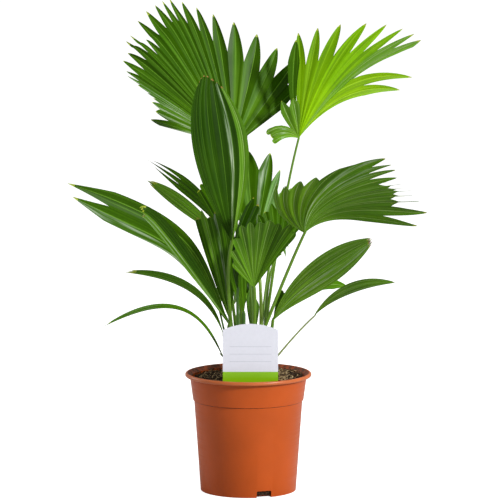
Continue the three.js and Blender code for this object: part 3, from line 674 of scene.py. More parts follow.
FRONDS: tuple[FrondSizes, ...] = (
    FrondSizes(
        "frond_high_left_fan", "back_left", 30, 173, (-15, 28, 340), (-20, 45, 461), (2.2, 1.5),
        Green.DARK, StalkGreen.GREEN, (BladeSizes(
            via=((-67, 80, 601),), tip=(-84.5, 90, 632), leaflets=26, wave=0.0,
            spread=(-57, -42.5, -38.5, -34, -24, -17, -7, 0, 13.2, 41.3, 69),
            reach=(
                0.66, 0.57, 0.65, 0.65, 0.7, 0.78, 0.91, 0.94, 1.03, 1.05, 1.15, 1.16, 1.05,
                1.2, 1.21, 1.21, 1.21, 1.19, 1.12, 1.03, 0.95, 0.88, 0.81, 0.77, 0.74, 0.51,
            ),
            split=(0.81, 0.93, 0.9, 0.81, 0.81, 0.85, 0.79, 0.71, 0.86),
            lean=(16, 8, 2, 0, -4, -8, -16), pleat=0.35, painted_sheen=(-1.1, -0.45),
        ),),
    ),
    FrondSizes(
        "frond_tall_front_blade", "left", 0, 172, (-27, -8, 273), (-22, -20, 339), (2.3, 1.9),
        Green.DEEP, StalkGreen.GREEN, (BladeSizes(
            via=((-74, -50, 492),), tip=(-57, -38, 564), leaflets=8, spread=(-10.8, 1.4, 36),
            reach=(0.93, 1, 0.95), split=(0.96, 0.95, 0.95), pinch=0.8, cup=-0.5, face=(10, 0),
            wave=0.0, yellow=0.0, dry=0.006, fork=0.0, blunt=True,
            # The MID green of the right-hand leaflets, and the painted highlight beside them, are painted
            # light: the strip folded towards the key light.
            painted_sheen=(0.55, 0.8), accent=(0.7, 2.0), accent_green=Green.MID,
        ),),
    ),
    FrondSizes(
        "frond_high_right_fan", "back_right", 25, 173, (43, 30, 352), (68, 45, 472), (1.9, 1.3),
        Green.BRIGHT, StalkGreen.GREEN, (BladeSizes(
            via=((91, 45, 550),), tip=(140, 60, 625), leaflets=8, wave=0.0,
            spread=(-21.5, -7, 6.3, 14.1, 19), pinch=-0.35, reach=(0.77, 0.9, 1.12, 1.29, 1.36),
            split=(0.68, 0.69, 0.71, 0.76, 0.93), lean=(0, 0, 0, -6, -14), yellow=0.015, dry=0.0,
            accent=(0.5, 2.0), accent_green=Green.FRESH,
        ), BladeSizes(
            via=((105, 70, 532), (158, 80, 552)), tip=(215, 95, 541.5), leaflets=2, spread=(-7, 7.5),
            # These low tips take the LIT green as painted light.
            split=(0.66,), pinch=0.2, green=Green.LIT,
        ), BladeSizes(
            tip=(53, 30, 529), leaflets=2, spread=(-24, 19), reach=(0.9, 1), split=(0.8,), pinch=0.3,
            green=Green.FRESH,
        ), BladeSizes(
            via=((48, 25, 487),), tip=(31, 25, 472), leaflets=3, spread=(-15, 25), split=(0.93,),
            pinch=0.3, green=Green.FRESH, blunt=True,
        ), BladeSizes(
            via=((54, 40, 530),), tip=(64, 38, 600), leaflets=1, spread=(-4.5, 4.5), split=(0.8,),
            green=Green.DARK,
        )),
    ),
    FrondSizes(
        "frond_right_fan", "front", 355, 172, (48, -27, 290), (75, -40, 354), (2.2, 1.6),
        Green.MID, StalkGreen.GREEN, (BladeSizes(
            via=((94, -70, 408.5),), tip=(196, -120, 425), leaflets=17, wave=0.0,
            spread=(-86, -76, -41, -18, -9.6, -0.8, 3.6, 11, 26),
            reach=(
                0.42, 0.45, 0.4, 0.41, 0.46, 0.6, 0.99, 1.03, 1.04, 1.02, 1.04, 1.09, 1.1, 1.09, 1.15,
                1.16, 1.01,
            ),
            split=(0.75, 0.85, 0.88, 0.88, 0.77, 0.86, 0.85, 0.77, 0.58),
            lean=(-10, 0, 6, 4, 0, -4, -10), pinch=0.18,
            fork=3.0, threads=(0.15, 0.75), accent=(-2.0, -0.4), accent_green=Green.FRESH,
            painted_sheen=(-0.3, 0.1),
        ),),
        hairs=7,
    ),
    FrondSizes(
        "frond_front_small_fan", "front", 300, 172, (8, -30, 231), (8, -45, 281), (2.2, 1.9),
        Green.MID, StalkGreen.GREEN, (BladeSizes(
            via=((10, -60, 333),), tip=(13, -100, 380), leaflets=10, wave=0.0,
            spread=(-46, -20, -2, 15, 31),
            reach=(0.33, 0.48, 0.62, 0.8, 0.95, 0.9, 0.99, 0.99, 0.97, 1.02, 0.8),
            split=(0.92, 0.93, 0.8, 0.95, 0.88, 0.95), face=(0, 10),
            yellow=0.0, fork=0.0, blunt=True, accent=(0.35, 2.0), accent_green=Green.DARK,
        ),),
    ),
    FrondSizes(
        "frond_left_torn", "left", 240, 171, (-24, -11, 195), (-24, -15, 228), (2, 2),
        Green.DARK, StalkGreen.GREEN, (BladeSizes(
            via=((-39, -35, 253), (-122, -65, 390)), tip=(-139, -95, 389), leaflets=5,
            spread=(-5.8, 0.3, 6.0), split=(0.96,), pinch=0.66, face=(-20, 10),
            green=Green.DEEP, accent=(-2.0, -0.3), accent_green=Green.MID, painted_sheen=(-2.0, -0.3),
            wave=0.0, yellow=0.012, dry=0.0, fork=0.0, blunt=True,
        ),),
    ),
    FrondSizes(
        "frond_left_long", "left", 180, 171, (-28, -1, 193), (-26, 3, 224), (2, 2),
        Green.FRESH, StalkGreen.GREEN, (BladeSizes(
            via=((-83, 0, 344), (-78, -10, 346)), tip=(-232, -40, 414), leaflets=2, spread=(-11, 7.2),
            split=(0.82,), pinch=0.7, face=(-10, 10), green=Green.DARK, painted_sheen=(-2.0, 0.0), fork=0.0,
        ),),
    ),
    FrondSizes(
        "frond_left_arching", "left", 130, 165, (-29, 8.5, 188), (-33, 12, 207), (1.8, 1.6),
        Green.DARK, StalkGreen.GREEN, (BladeSizes(
            via=((-44, 30, 247), (-77, 60, 288)), tip=(-165, 110, 281.5), leaflets=3, spread=(-4.5, 4),
            split=(0.93,), pinch=0.87, face=(-10, 40), fork=0.0, yellow=0.05, blunt=True,
            green=Green.MID, accent=(-0.4, 2.0), accent_green=Green.DARK,
        ),),
    ),
    FrondSizes(
        "frond_left_low_strap", "left", 290, 161, (-27, -17.5, 177), (-35, -24, 187), (1.4, 1.2),
        Green.DARK, StalkGreen.GREEN, (BladeSizes(
            via=((-60, -50, 242), (-89, -80, 288)), tip=(-189, -130, 241.5), leaflets=2, spread=(-1, 5.3),
            split=(0.93,), pinch=0.97, face=(-10, 50), fork=0.0, blunt=True,
        ),),
    ),
    FrondSizes(
        "frond_right_low_broad", "right", 20, 171, (30, -6, 205), (33, -10, 231), (2, 1.9),
        Green.MID, StalkGreen.GREEN, (BladeSizes(
            via=((60, -30, 288),), tip=(162, -100, 352), leaflets=7, spread=(-12.5, 17),
            split=(0.96, 0.95, 0.9), pinch=0.93, face=(0, 20), dry=0.02, fork=0.0,
            blunt=True, wave=0.01, painted_sheen=(0.2, 0.8), green=Green.FRESH,
        ), BladeSizes(
            via=((84, -8, 292),), tip=(131, -18, 279), leaflets=1, spread=(-5, 5),
            split=(0.85,), pinch=0.3, face=(0, 20),
        ), BladeSizes(
            tip=(48, -16, 272), leaflets=2, spread=(-13, 13), split=(0.95,), pinch=0.4, blunt=True,
            green=Green.DARK,
        )),
    ),
    FrondSizes(
        "frond_right_low_slim", "right", 285, 161, (58, -28, 209), (87, -45, 242), (1.2, 1),
        Green.FRESH, StalkGreen.PALE, (BladeSizes(
            via=((97, -60, 267), (135, -85, 313)), tip=(193, -130, 300), leaflets=3, spread=(-0.2, 13.9),
            split=(0.95,), pinch=0.98, face=(0, 25), fork=0.0, blunt=True,
        ),),
    ),
    FrondSizes(
        "frond_left_folded_fan", "back_left", 170, 172, (-31, 26, 280), (-30, 30, 338), (1.8, 1.3),
        Green.DARK, StalkGreen.GREEN, (BladeSizes(
            via=((-80, 60, 361),), tip=(-138, 95, 408), leaflets=4, spread=(-2.7, 16.5),
            split=(0.9,), pinch=0.95, face=(-30, 10), fork=0.0, yellow=0.05, blunt=True,
            green=Green.MID,
        ), BladeSizes(
            via=((-47, 80, 386),), tip=(-133, 120, 432), leaflets=3, spread=(-9.5, 7.5),
            split=(0.68,), pinch=0.85, face=(-40, 10),
        ), BladeSizes(
            via=((-45, 50, 372),), tip=(-66, 62, 404), leaflets=2, spread=(-10, 10),
            split=(0.93,), pinch=0.5, face=(-20, 10), blunt=True,
        )),
    ),
    FrondSizes(
        "frond_left_inner", "back_left", 215, 171, (-21, 11, 195), (-23, 12, 226), (2, 2),
        Green.DEEP, StalkGreen.LIME, (BladeSizes(
            via=((-38, 18, 260),), tip=(-67, 5, 373), leaflets=6, spread=(-3.7, 26),
            split=(0.95,), pinch=0.35, face=(-20, 0), green=Green.DARK,
            accent=(-0.6, -0.4), accent_green=Green.FRESH, painted_sheen=(0.1, 0.3),
        ),),
    ),
    FrondSizes(
        "frond_pale_back", "back_right", 300, 171, (17, 27, 262), (10, 50, 322), (2.4, 1.6),
        Green.PALE, StalkGreen.LIME, (BladeSizes(
            via=((13, 75, 390),), tip=(21, 110, 445), leaflets=5, spread=(-34, -13, 4.3, 15, 26),
            reach=(0.8, 0.97, 1.05, 0.77, 0.6), split=(0.85, 0.82, 0.74, 0.76, 0.8), cup=0.3, dry=0.0,
            accent=(-2.0, 0.3), accent_green=Green.DARK, painted_sheen=(-0.3, 0.3),
        ),),
    ),
    FrondSizes(
        "frond_narrow_folded", "front", 200, 171, (-14.5, -22, 240), (-14, -30, 276), (1.6, 1.4),
        Green.DEEP, StalkGreen.DARK, (BladeSizes(
            via=((-25, -48, 332),), tip=(9, -62, 399), leaflets=2, spread=(-9, 11),
            split=(0.93,), pinch=0.5, face=(40, 0), dry=0.012, fork=0.0, yellow=0.01,
        ),),
    ),
    FrondSizes(
        "frond_right_inner_fan", "right", 80, 172, (26.5, 9, 281), (40, 14, 318), (1.5, 1.2),
        Green.DARK, StalkGreen.GREEN, (BladeSizes(
            via=((43, 22, 350),), tip=(48, 22, 387), leaflets=8, spread=(-38, 0, 34),
            reach=(0.8, 1, 0.85), split=(0.9,),
        ),),
    ),
    FrondSizes(
        "frond_left_rear_strap", "left", 80, 167, (-31, 19, 207), (-42, 40, 252), (1.3, 1.1),
        Green.MID, StalkGreen.DARK, (BladeSizes(
            via=((-71, 60, 301),), tip=(-114, 95, 337), leaflets=3, spread=(-8, 8),
            split=(0.9,), pinch=0.8, face=(-10, 10),
        ),),
    ),
    FrondSizes(
        "frond_rear_tall_fan", "back_right", 190, 172, (2, 50, 290), (-5, 122, 392), (2, 1.4),
        Green.DARK, StalkGreen.GREEN, (BladeSizes(
            via=((-8, 150, 445),), tip=(-12, 182, 487), leaflets=13, spread=(-38, 4, 50),
            reach=(0.75, 0.95, 1, 0.95, 0.75), split=(0.75,), face=(95, 0), cup=0.2,
        ),),
    ),
    FrondSizes(
        "frond_young_spear", "front", 150, 170, (-6.5, -8, 212), (-6, -7, 240), (2.4, 2.2),
        Green.DARK, StalkGreen.DARK, (BladeSizes(
            tip=(-13, -9, 340), leaflets=5, spread=(-21, 12), split=(0.9,), pinch=0.8,
        ),),
    ),
    FrondSizes(
        "frond_rear_left_fan", "back_left", 125, 172, (-20, 40, 240), (-30, 88, 292), (2.1, 1.5),
        Green.MID, StalkGreen.GREEN, (BladeSizes(
            via=((-32, 140, 350),), tip=(-38, 205, 345), leaflets=14, spread=(-62, 0, 58),
            reach=(0.8, 0.95, 1, 0.95, 0.8), split=(0.7,), face=(100, 0), cup=0.3,
        ),),
    ),
    FrondSizes(
        "frond_rear_right_fan", "back_right", 65, 172, (21, 32, 245), (33, 78, 322), (2, 1.5),
        Green.MID, StalkGreen.GREEN, (BladeSizes(
            via=((44, 130, 362),), tip=(58, 190, 330), leaflets=12, spread=(-40, 0, 34),
            reach=(0.7, 0.95, 1, 0.9, 0.7), split=(0.7,), face=(75, 0), cup=0.3,
        ),),
    ),
    FrondSizes(
        "frond_rear_low_left", "back_left", 80, 166, (-9, 24.5, 179), (-10, 29, 192), (1.9, 1.8),
        Green.FRESH, StalkGreen.GREEN, (BladeSizes(
            via=((-12, 60, 262), (-20, 130, 292)), tip=(-26, 190, 225), leaflets=5, spread=(-13, 13),
            split=(0.9,), pinch=0.65, face=(170, 40),
        ),),
    ),
    FrondSizes(
        "frond_rear_low_right", "back_right", 110, 166, (8, 23, 182), (7, 30, 197), (1.8, 1.7),
        Green.DARK, StalkGreen.GREEN, (BladeSizes(
            via=((6, 60, 262), (6, 110, 300)), tip=(6, 165, 272), leaflets=4, spread=(-12, 12),
            split=(0.9,), pinch=0.7, face=(190, 40),
        ),),
    ),
)


def smooth(knots: Sequence[float], u: np.ndarray) -> np.ndarray:
    """Evaluates a smooth curve through evenly spaced knots.

    Args:
        knots: its values from -1 to 1.
        u: places from -1 to 1.

    Returns:
        The curve's value at each place.
    """
    values = np.asarray(knots, float)
    if len(values) == 1:
        return np.full(np.shape(u), values[0])
    last = len(values) - 1
    x = (np.asarray(u, float) + 1) / 2 * last
    i = np.clip(np.floor(x).astype(int), 0, last - 1)
    f = x - i
    a, b = values[i], values[i + 1]
    before = np.where(i == 0, b - a, (b - values[np.maximum(i - 1, 0)]) / 2)
    after = np.where(i == last - 1, b - a, (values[np.minimum(i + 2, last)] - a) / 2)
    ease = 3 * f**2 - 2 * f**3
    return a + (b - a) * ease + (f**3 - 2 * f**2 + f) * before + (f**3 - f**2) * after


def lerp(a: object, b: object, t: object) -> object:
    """Returns the value t of the way from a to b."""
    return a + (b - a) * t


def unit(vectors: np.ndarray) -> np.ndarray:
    """Returns the vectors at length one."""
    return vectors / np.linalg.norm(vectors, axis=-1, keepdims=True)


def axes(tangent: np.ndarray, facing: np.ndarray) -> tuple[np.ndarray, np.ndarray]:
    """Returns the directions across a curve and up from it, for a curve that faces a direction."""
    side = unit(np.cross(tangent, facing))
    return side, np.cross(side, tangent)


class Curve:
    """A Bezier curve of any degree, also read by its length."""

    SAMPLES = 200

    def __init__(self, controls: Sequence) -> None:
        """Samples the curve's length.

        Args:
            controls: its control points, in metres.
        """
        self.controls = np.asarray(controls, float)
        self.times = np.linspace(0, 1, self.SAMPLES + 1)
        steps = np.linalg.norm(np.diff(self.point(self.times), axis=0), axis=1)
        self.travelled = np.concatenate([[0.0], np.cumsum(steps)])
        self.length = float(self.travelled[-1])

    @staticmethod
    def _sum(controls: np.ndarray, t: np.ndarray) -> np.ndarray:
        """Returns the Bernstein sum of the controls at t."""
        degree = len(controls) - 1
        t = np.asarray(t, float)[..., None]
        return sum(
            math.comb(degree, k) * t**k * (1 - t) ** (degree - k) * control
            for k, control in enumerate(controls)
        )

    def point(self, t: np.ndarray) -> np.ndarray:
        """Returns the points at t."""
        return self._sum(self.controls, t)

    def tangent(self, t: np.ndarray) -> np.ndarray:
        """Returns the unit tangents at t."""
        return unit(self._sum(np.diff(self.controls, axis=0), t))

    def time_at(self, share: np.ndarray) -> np.ndarray:
        """Returns t where a share of the length is travelled."""
        return np.interp(np.asarray(share) * self.length, self.travelled, self.times)


class BladeSurface:
    """The surface that a blade's leaflets lie on."""

    def __init__(self, hub: Point, sizes: BladeSizes) -> None:
        """Lays the spine from the hub to the blade's tip."""
        self.sizes = sizes
        self.spine = Curve(np.array([hub, *sizes.via, sizes.tip], float) * MM)
        self.length = self.spine.length
        turn, rise = np.radians(sizes.face)
        self.face = np.array([
            math.sin(turn) * math.cos(rise),
            -math.cos(turn) * math.cos(rise),
            math.sin(rise),
        ])

    def reach(self, u: np.ndarray) -> np.ndarray:
        """Returns a leaflet's length at u, in metres."""
        return self.length * smooth(self.sizes.reach, u)

    def split(self, u: np.ndarray) -> np.ndarray:
        """Returns how far from the hub the leaflets are joined at u."""
        return self.reach(u) * smooth(self.sizes.split, u)

    def angle(self, u: np.ndarray, r: np.ndarray) -> np.ndarray:
        """Returns a leaflet's angle from the spine at r metres from the hub, in radians."""
        share = r / self.reach(u)
        return np.radians(smooth(self.sizes.spread, u) * (1 - self.sizes.pinch * share**2))

    def half_width(self, u: np.ndarray, r: np.ndarray) -> np.ndarray:
        """Returns half of a leaflet's width at u and r."""
        pitch = 1 / self.sizes.leaflets
        low, high = np.maximum(u - pitch, -1), np.minimum(u + pitch, 1)
        return r * np.abs(self.angle(high, r) - self.angle(low, r)) / 2

    def place(self, u: np.ndarray, r: np.ndarray, lift: np.ndarray) -> np.ndarray:
        """Finds points on the blade.

        Args:
            u: places across the blade, from -1 to 1.
            r: distances from the hub, in metres.
            lift: heights off the blade's plane, in metres.

        Returns:
            One point for each place.
        """
        theta = self.angle(u, r)
        across, along = r * np.sin(theta), r * np.cos(theta)
        at = np.clip(along / self.length, 0, 1)
        t = self.spine.time_at(at)
        tangent = self.spine.tangent(t)
        side, normal = axes(tangent, self.face)
        lean = r * np.tan(np.radians(smooth(self.sizes.lean, u)))
        out = lean + self.sizes.cup * across**2 / self.length + lift
        past = along - at * self.length
        return (
            self.spine.point(t)
            + tangent * past[..., None]
            + side * across[..., None]
            + normal * out[..., None]
        )


@dataclass
class Blade:
    """One blade as a thin closed shell, folded along its ribs."""

    surface: BladeSurface
    green: Green
    seed: int
    rib_share: float = 0.06
    hub: float = 1.2 * MM
    fold_gain: float = 1.2
    fold_softness: float = 0.05
    rib_thickness: float = 0.95 * MM
    rib_spread: float = 0.3
    edge_thickness: float = 0.4 * MM
    hub_thickness: float = 2.2 * MM
    hub_reach: float = 75 * MM
    row_length: float = 6.0 * MM
    free_rows: int = 12
    taper: float = 0.78
    roundness: tuple[float, float] = (3, 0.6)
    slimness: float = 0.5
    wave_step: float = 2.4
    least_free: float = 1.02
    sway: float = 0.16
    curl: tuple[float, float] = (-0.05, 0.03)
    fork_spread: tuple[float, float] = (0.3, 1.0)
    tip_width: tuple[float, float] = (0.012, 0.02)
    thread: tuple[float, float] = (2.6, 0.13)
    dry_spread: tuple[float, float] = (0.2, 1.8)
    yellow_spread: tuple[float, float] = (0.3, 1.7)

    def offsets(self) -> np.ndarray:
        """Returns the places across one leaflet, from edge to edge, the rib's two edges in the middle."""
        rib = self.rib_share
        return np.array([-1.0, -0.7, -0.38, -rib, rib, 0.38, 0.7, 1.0])

    def fold(self, s: np.ndarray) -> np.ndarray:
        """Returns the fold's height at s across a leaflet: -1 at the rib, 1 at the edges."""
        soft = self.fold_softness
        return 2 * (np.sqrt(s**2 + soft**2) - soft) / (math.sqrt(1 + soft**2) - soft) - 1

    def thickness(self, s: np.ndarray) -> np.ndarray:
        """Returns the leaf's thickness at s across a leaflet."""
        return lerp(self.rib_thickness, self.edge_thickness, np.minimum(np.abs(s) / self.rib_spread, 1))

    def draft(self, mesh: MeshDraft, greens: dict[str, int]) -> None:
        """Adds the blade to a mesh.

        Args:
            mesh: the mesh it goes to.
            greens: material indices by role: a green's name with its tone's number, _rib, or _sheen for its
                painted highlight, and yellow and dry.
        """
        sizes, surface = self.surface.sizes, self.surface
        count = sizes.leaflets
        rng = np.random.default_rng(1000 + 17 * self.seed + count)
        ribs = -1 + (2 * np.arange(count) + 1) / count
        wave = 1 + sizes.wave * np.sin(self.wave_step * np.arange(count) + self.seed)
        ends = np.maximum(surface.reach(ribs) * wave, surface.split(ribs) * self.least_free)

        hub = (0.0, 0.0, 0.0, self.hub_thickness, count / 2)
        joined, free = self._joined(ribs), self._free(ribs, ends, rng)
        u, r, lift, thick, across = (
            np.concatenate([np.ravel(values) for values in parts]) for parts in zip(hub, joined, free)
        )
        front = surface.place(u, r, lift + thick / 2)
        back = surface.place(u, r, lift - thick / 2)
        uv = np.stack([across, r / surface.length], axis=1)

        tones = rng.integers(0, len(self.green.value.tones), count)
        hues = [self._hues(greens, place, tone) for place, tone in zip(ribs, tones)]
        dryness = sizes.dry * rng.uniform(*self.dry_spread, count) * ends
        yellowing = dryness + sizes.yellow * rng.uniform(*self.yellow_spread, count) * ends
        faces, shades = self._joined_faces(hues, len(joined[0]) - 1)
        start = 1 + joined[0].size
        cells = len(hues[0])
        reached = free[1][..., (cells + 1) // 2]
        for i, hue in enumerate(hues):
            near = start - (count - i) * cells - 1
            for m in range(self.free_rows):
                far = start + (i * self.free_rows + m) * (cells + 1)
                left = ends[i] - reached[i, m]
                faces += [(near + c, near + c + 1, far + c + 1, far + c) for c in range(cells)]
                if left < dryness[i]:
                    shades += [greens["dry"]] * cells
                elif left < yellowing[i]:
                    shades += [greens["yellow"]] * cells
                else:
                    shades += hue
                near = far
        points, closed, shades = shell(front, back, faces, shades)
        mesh.add(points, np.concatenate([uv, uv]), closed, shades)

    def _joined(self, ribs: np.ndarray) -> tuple[np.ndarray, ...]:
        """Lays out the joined part: rows out from the hub, columns across all leaflets.

        Args:
            ribs: the leaflets' places across the blade.

        Returns:
            For each point its place across, distance, lift, thickness and leaflet.
        """
        sizes, surface, offsets = self.surface.sizes, self.surface, self.offsets()
        count = sizes.leaflets
        u_row = np.concatenate([(ribs[:, None] + offsets[:-1] / count).ravel(), [1.0]])
        rows = max(6, round(float(surface.split(np.array([0.0]))[0]) / self.row_length))
        u = np.broadcast_to(u_row, (rows + 1, len(u_row)))
        s = np.broadcast_to(np.concatenate([np.tile(offsets[:-1], count), [1.0]]), u.shape)
        r = lerp(self.hub, surface.split(u), (np.arange(rows + 1) / rows)[:, None])
        wide = surface.half_width(u, r)
        lift = self.fold_gain * sizes.pleat * wide * self.fold(s) / 2
        thick = np.minimum(self.thickness(s), self.slimness * wide)
        thick = np.maximum(thick, self.hub_thickness * (1 - r / self.hub_reach))
        return u, r, lift, thick, (u + 1) * count / 2

    def _free(
        self, ribs: np.ndarray, ends: np.ndarray, rng: np.random.Generator
    ) -> tuple[np.ndarray, ...]:
        """Lays out the free leaflets: rows on from the split, each narrowing to its own tip.

        Args:
            ribs: the leaflets' places across the blade.
            ends: their lengths, in metres.
            rng: what their differences are drawn from.

        Returns:
            The same as for the joined part.
        """
        sizes, surface, offsets = self.surface.sizes, self.surface, self.offsets()
        count = sizes.leaflets

        def varied(spread: tuple[float, float]) -> np.ndarray:
            """Draws one value for each leaflet."""
            return rng.uniform(*spread, count)[:, None, None]

        rib, q = ribs[:, None, None], (np.arange(1, self.free_rows + 1) / self.free_rows)[None, :, None]
        u = rib + offsets / count
        s = np.broadcast_to(offsets, (count, self.free_rows, len(offsets)))
        sway, curl = varied((-self.sway, self.sway)) / count, varied(self.curl)
        fork = varied(self.fork_spread) * sizes.fork * MM
        power, root = self.roundness
        pointed = (1 - q**power) ** root if sizes.blunt else (1 - q) ** self.taper
        worn = (rib > sizes.threads[0]) & (rib < sizes.threads[1])
        fall, least = self.thread
        pointed = np.where(worn, np.maximum(pointed - fall * q, least * pointed), pointed)
        plain, forked = self.tip_width
        narrow = lerp(pointed, 1.0, (plain + forked * (fork / MM)) * q**2)
        length = ends[:, None, None] - surface.split(u)
        r = surface.split(u) + length * q - fork * q**6 * (1 - np.abs(s))
        wide = surface.half_width(np.clip(u, -1, 1), r)
        lift = self.fold_gain * sizes.pleat * wide * self.fold(s) / 2 * narrow * (1 + 0.5 * q)
        lift = lift + curl * length * q**2
        thick = np.minimum(self.thickness(s) * lerp(1.0, 0.5, q), self.slimness * wide)
        across = np.clip(rib + (u - rib) * narrow + sway * q**2, -1, 1)
        return across, r, lift, thick, np.broadcast_to((u + 1) * count / 2, across.shape)

    def _hues(self, greens: dict[str, int], place: float, tone: int) -> list[int]:
        """Returns the material index of each cell across a leaflet, by its place and tone."""
        sizes, cells = self.surface.sizes, len(self.offsets()) - 1
        hue = sizes.accent_green if sizes.accent[0] < place < sizes.accent[1] else self.green
        plain = greens[f"{hue.name}_{tone}"]
        # Within the painted highlight's places, the cells on the side that faces the key light take the
        # painted highlight.
        painted_sheen_here = sizes.painted_sheen[0] < place < sizes.painted_sheen[1]
        side = greens[f"{hue.name}_sheen"] if painted_sheen_here else plain
        return [side] * (cells // 2) + [greens[f"{hue.name}_rib"]] + [plain] * (cells // 2)

    def _joined_faces(
        self, hues: Sequence[Sequence[int]], rows: int
    ) -> tuple[list[tuple[int, ...]], list[int]]:
        """Lists the joined part's faces.

        Args:
            hues: the material indices across each leaflet.
            rows: how many rows of faces there are past the hub's.

        Returns:
            The faces and their material indices.
        """
        flat = [shade for hue in hues for shade in hue]
        faces: list[tuple[int, ...]] = []
        for c in range(1, len(flat) + 1):
            faces.append((0, c + 1, c))
            for k in range(rows):
                near, far = c + k * (len(flat) + 1), c + (k + 1) * (len(flat) + 1)
                faces.append((near, near + 1, far + 1, far))
        return faces, [shade for shade in flat for _ in range(rows + 1)]


@dataclass
class Stalk:
    """A frond's stalk: a grooved, tapering stem with thorns along its lower edges."""

    sizes: FrondSizes
    sides: int = 14
    steps: int = 36
    into_blade: float = 5.0
    groove: float = 0.22
    flatness: tuple[float, float] = (1.12, 0.92)
    end_gain: float = 0.35
    thorn: float = 1.5
    thorn_pitch: float = 5.5
    thorn_spread: tuple[float, float] = (0.6, 1.1)
    thorny: float = 0.5

    def foot(self) -> np.ndarray:
        """Returns the centre of the stalk's foot on its stem, in metres."""
        x, y = STEMS[self.sizes.stem]
        share = np.clip((self.sizes.foot - SOIL_TOP - GAP) / STEM_HEIGHT, 0, 1)
        out = lerp(STEM_FOOT, STEM_TOP, share) + self.sizes.radii[0] + GAP
        turn = math.radians(self.sizes.side)
        return np.array([x + out * math.cos(turn), y + out * math.sin(turn), self.sizes.foot]) * MM

    def path(self) -> Curve:
        """Returns the stalk's curve, from its foot through its half-way point to just past the hub."""
        foot, hub = self.foot(), np.array(self.sizes.hub, float) * MM
        handle = 2 * np.array(self.sizes.stalk, float) * MM - (foot + hub) / 2
        end = hub + unit(hub - handle) * self.into_blade * MM
        return Curve([foot, handle, end])

    def draft(self, mesh: MeshDraft) -> None:
        """Adds the stalk and its thorns to a mesh, all in its first material."""
        path = self.path()
        t = np.linspace(0, 1, self.steps + 1)
        centre, tangent = path.point(t), path.tangent(t)
        side, up = axes(tangent, FRONT)
        into = self.into_blade * MM / path.length
        ending = lerp(1.0, self.end_gain, (t - 1 + into) / into)
        radius = self.radius(t) * np.where(t > 1 - into, ending, 1.0)

        turns = np.linspace(0, 2 * math.pi, self.sides, endpoint=False)
        hollow = 1 - self.groove * np.maximum(np.sin(turns), 0) ** 3
        wide, tall = self.flatness[0] * np.cos(turns), self.flatness[1] * np.sin(turns) * hollow
        rings = centre[:, None] + radius[:, None, None] * (
            side[:, None] * wide[None, :, None] + up[:, None] * tall[None, :, None]
        )
        points = np.concatenate([rings.reshape(-1, 3), centre[:1], centre[-1:]])
        across = np.tile(np.arange(self.sides) / self.sides, self.steps + 1)
        along = np.repeat(t, self.sides)
        uv = np.concatenate([np.stack([across, along], axis=1), [[0.5, 0.0], [0.5, 1.0]]])
        first, last, top = len(points) - 2, len(points) - 1, self.steps * self.sides
        faces = side_faces(self.steps + 1, self.sides)
        for a in range(self.sides):
            b = (a + 1) % self.sides
            faces += [(first, b, a), (last, top + a, top + b)]
        mesh.add(points, uv, faces, [0] * len(faces))
        self._thorns(mesh, path)

    def radius(self, t: np.ndarray) -> np.ndarray:
        """Returns the stalk's radius at t along it, in metres."""
        return lerp(*self.sizes.radii, t) * MM

    def _thorns(self, mesh: MeshDraft, path: Curve) -> None:
        """Adds small hooked thorns in pairs along both edges of the lower stalk."""
        length = path.length / MM
        pairs = int(self.thorny * length / self.thorn_pitch)
        rng = np.random.default_rng(500 + round(10 * length))
        faces = [face for a in range(4) for face in ((a, (a + 1) % 4, 4), ((a + 1) % 4, a, 5))]
        for n in range(pairs):
            for hand in (-1, 1):
                at = (n + 0.6 + rng.uniform(-0.3, 0.3)) * self.thorn_pitch / length
                t = path.time_at(np.array(at))
                tangent = path.tangent(t)
                side, up = axes(tangent, FRONT)
                size = self.thorn * MM * rng.uniform(*self.thorn_spread) * lerp(1.0, 0.5, at / self.thorny)
                out, back, rise = side * hand * size, tangent * size, up * size * 0.25
                root = path.point(t) + side * hand * self.radius(t) * 0.95
                corners = [root + back * 0.5, root + rise, root - back * 0.5, root - rise]
                points = np.array([*corners, root + out - back * 0.45, root - out * 0.3])
                mesh.add(points, np.tile([0.5, at], (6, 1)), faces, [0] * len(faces))


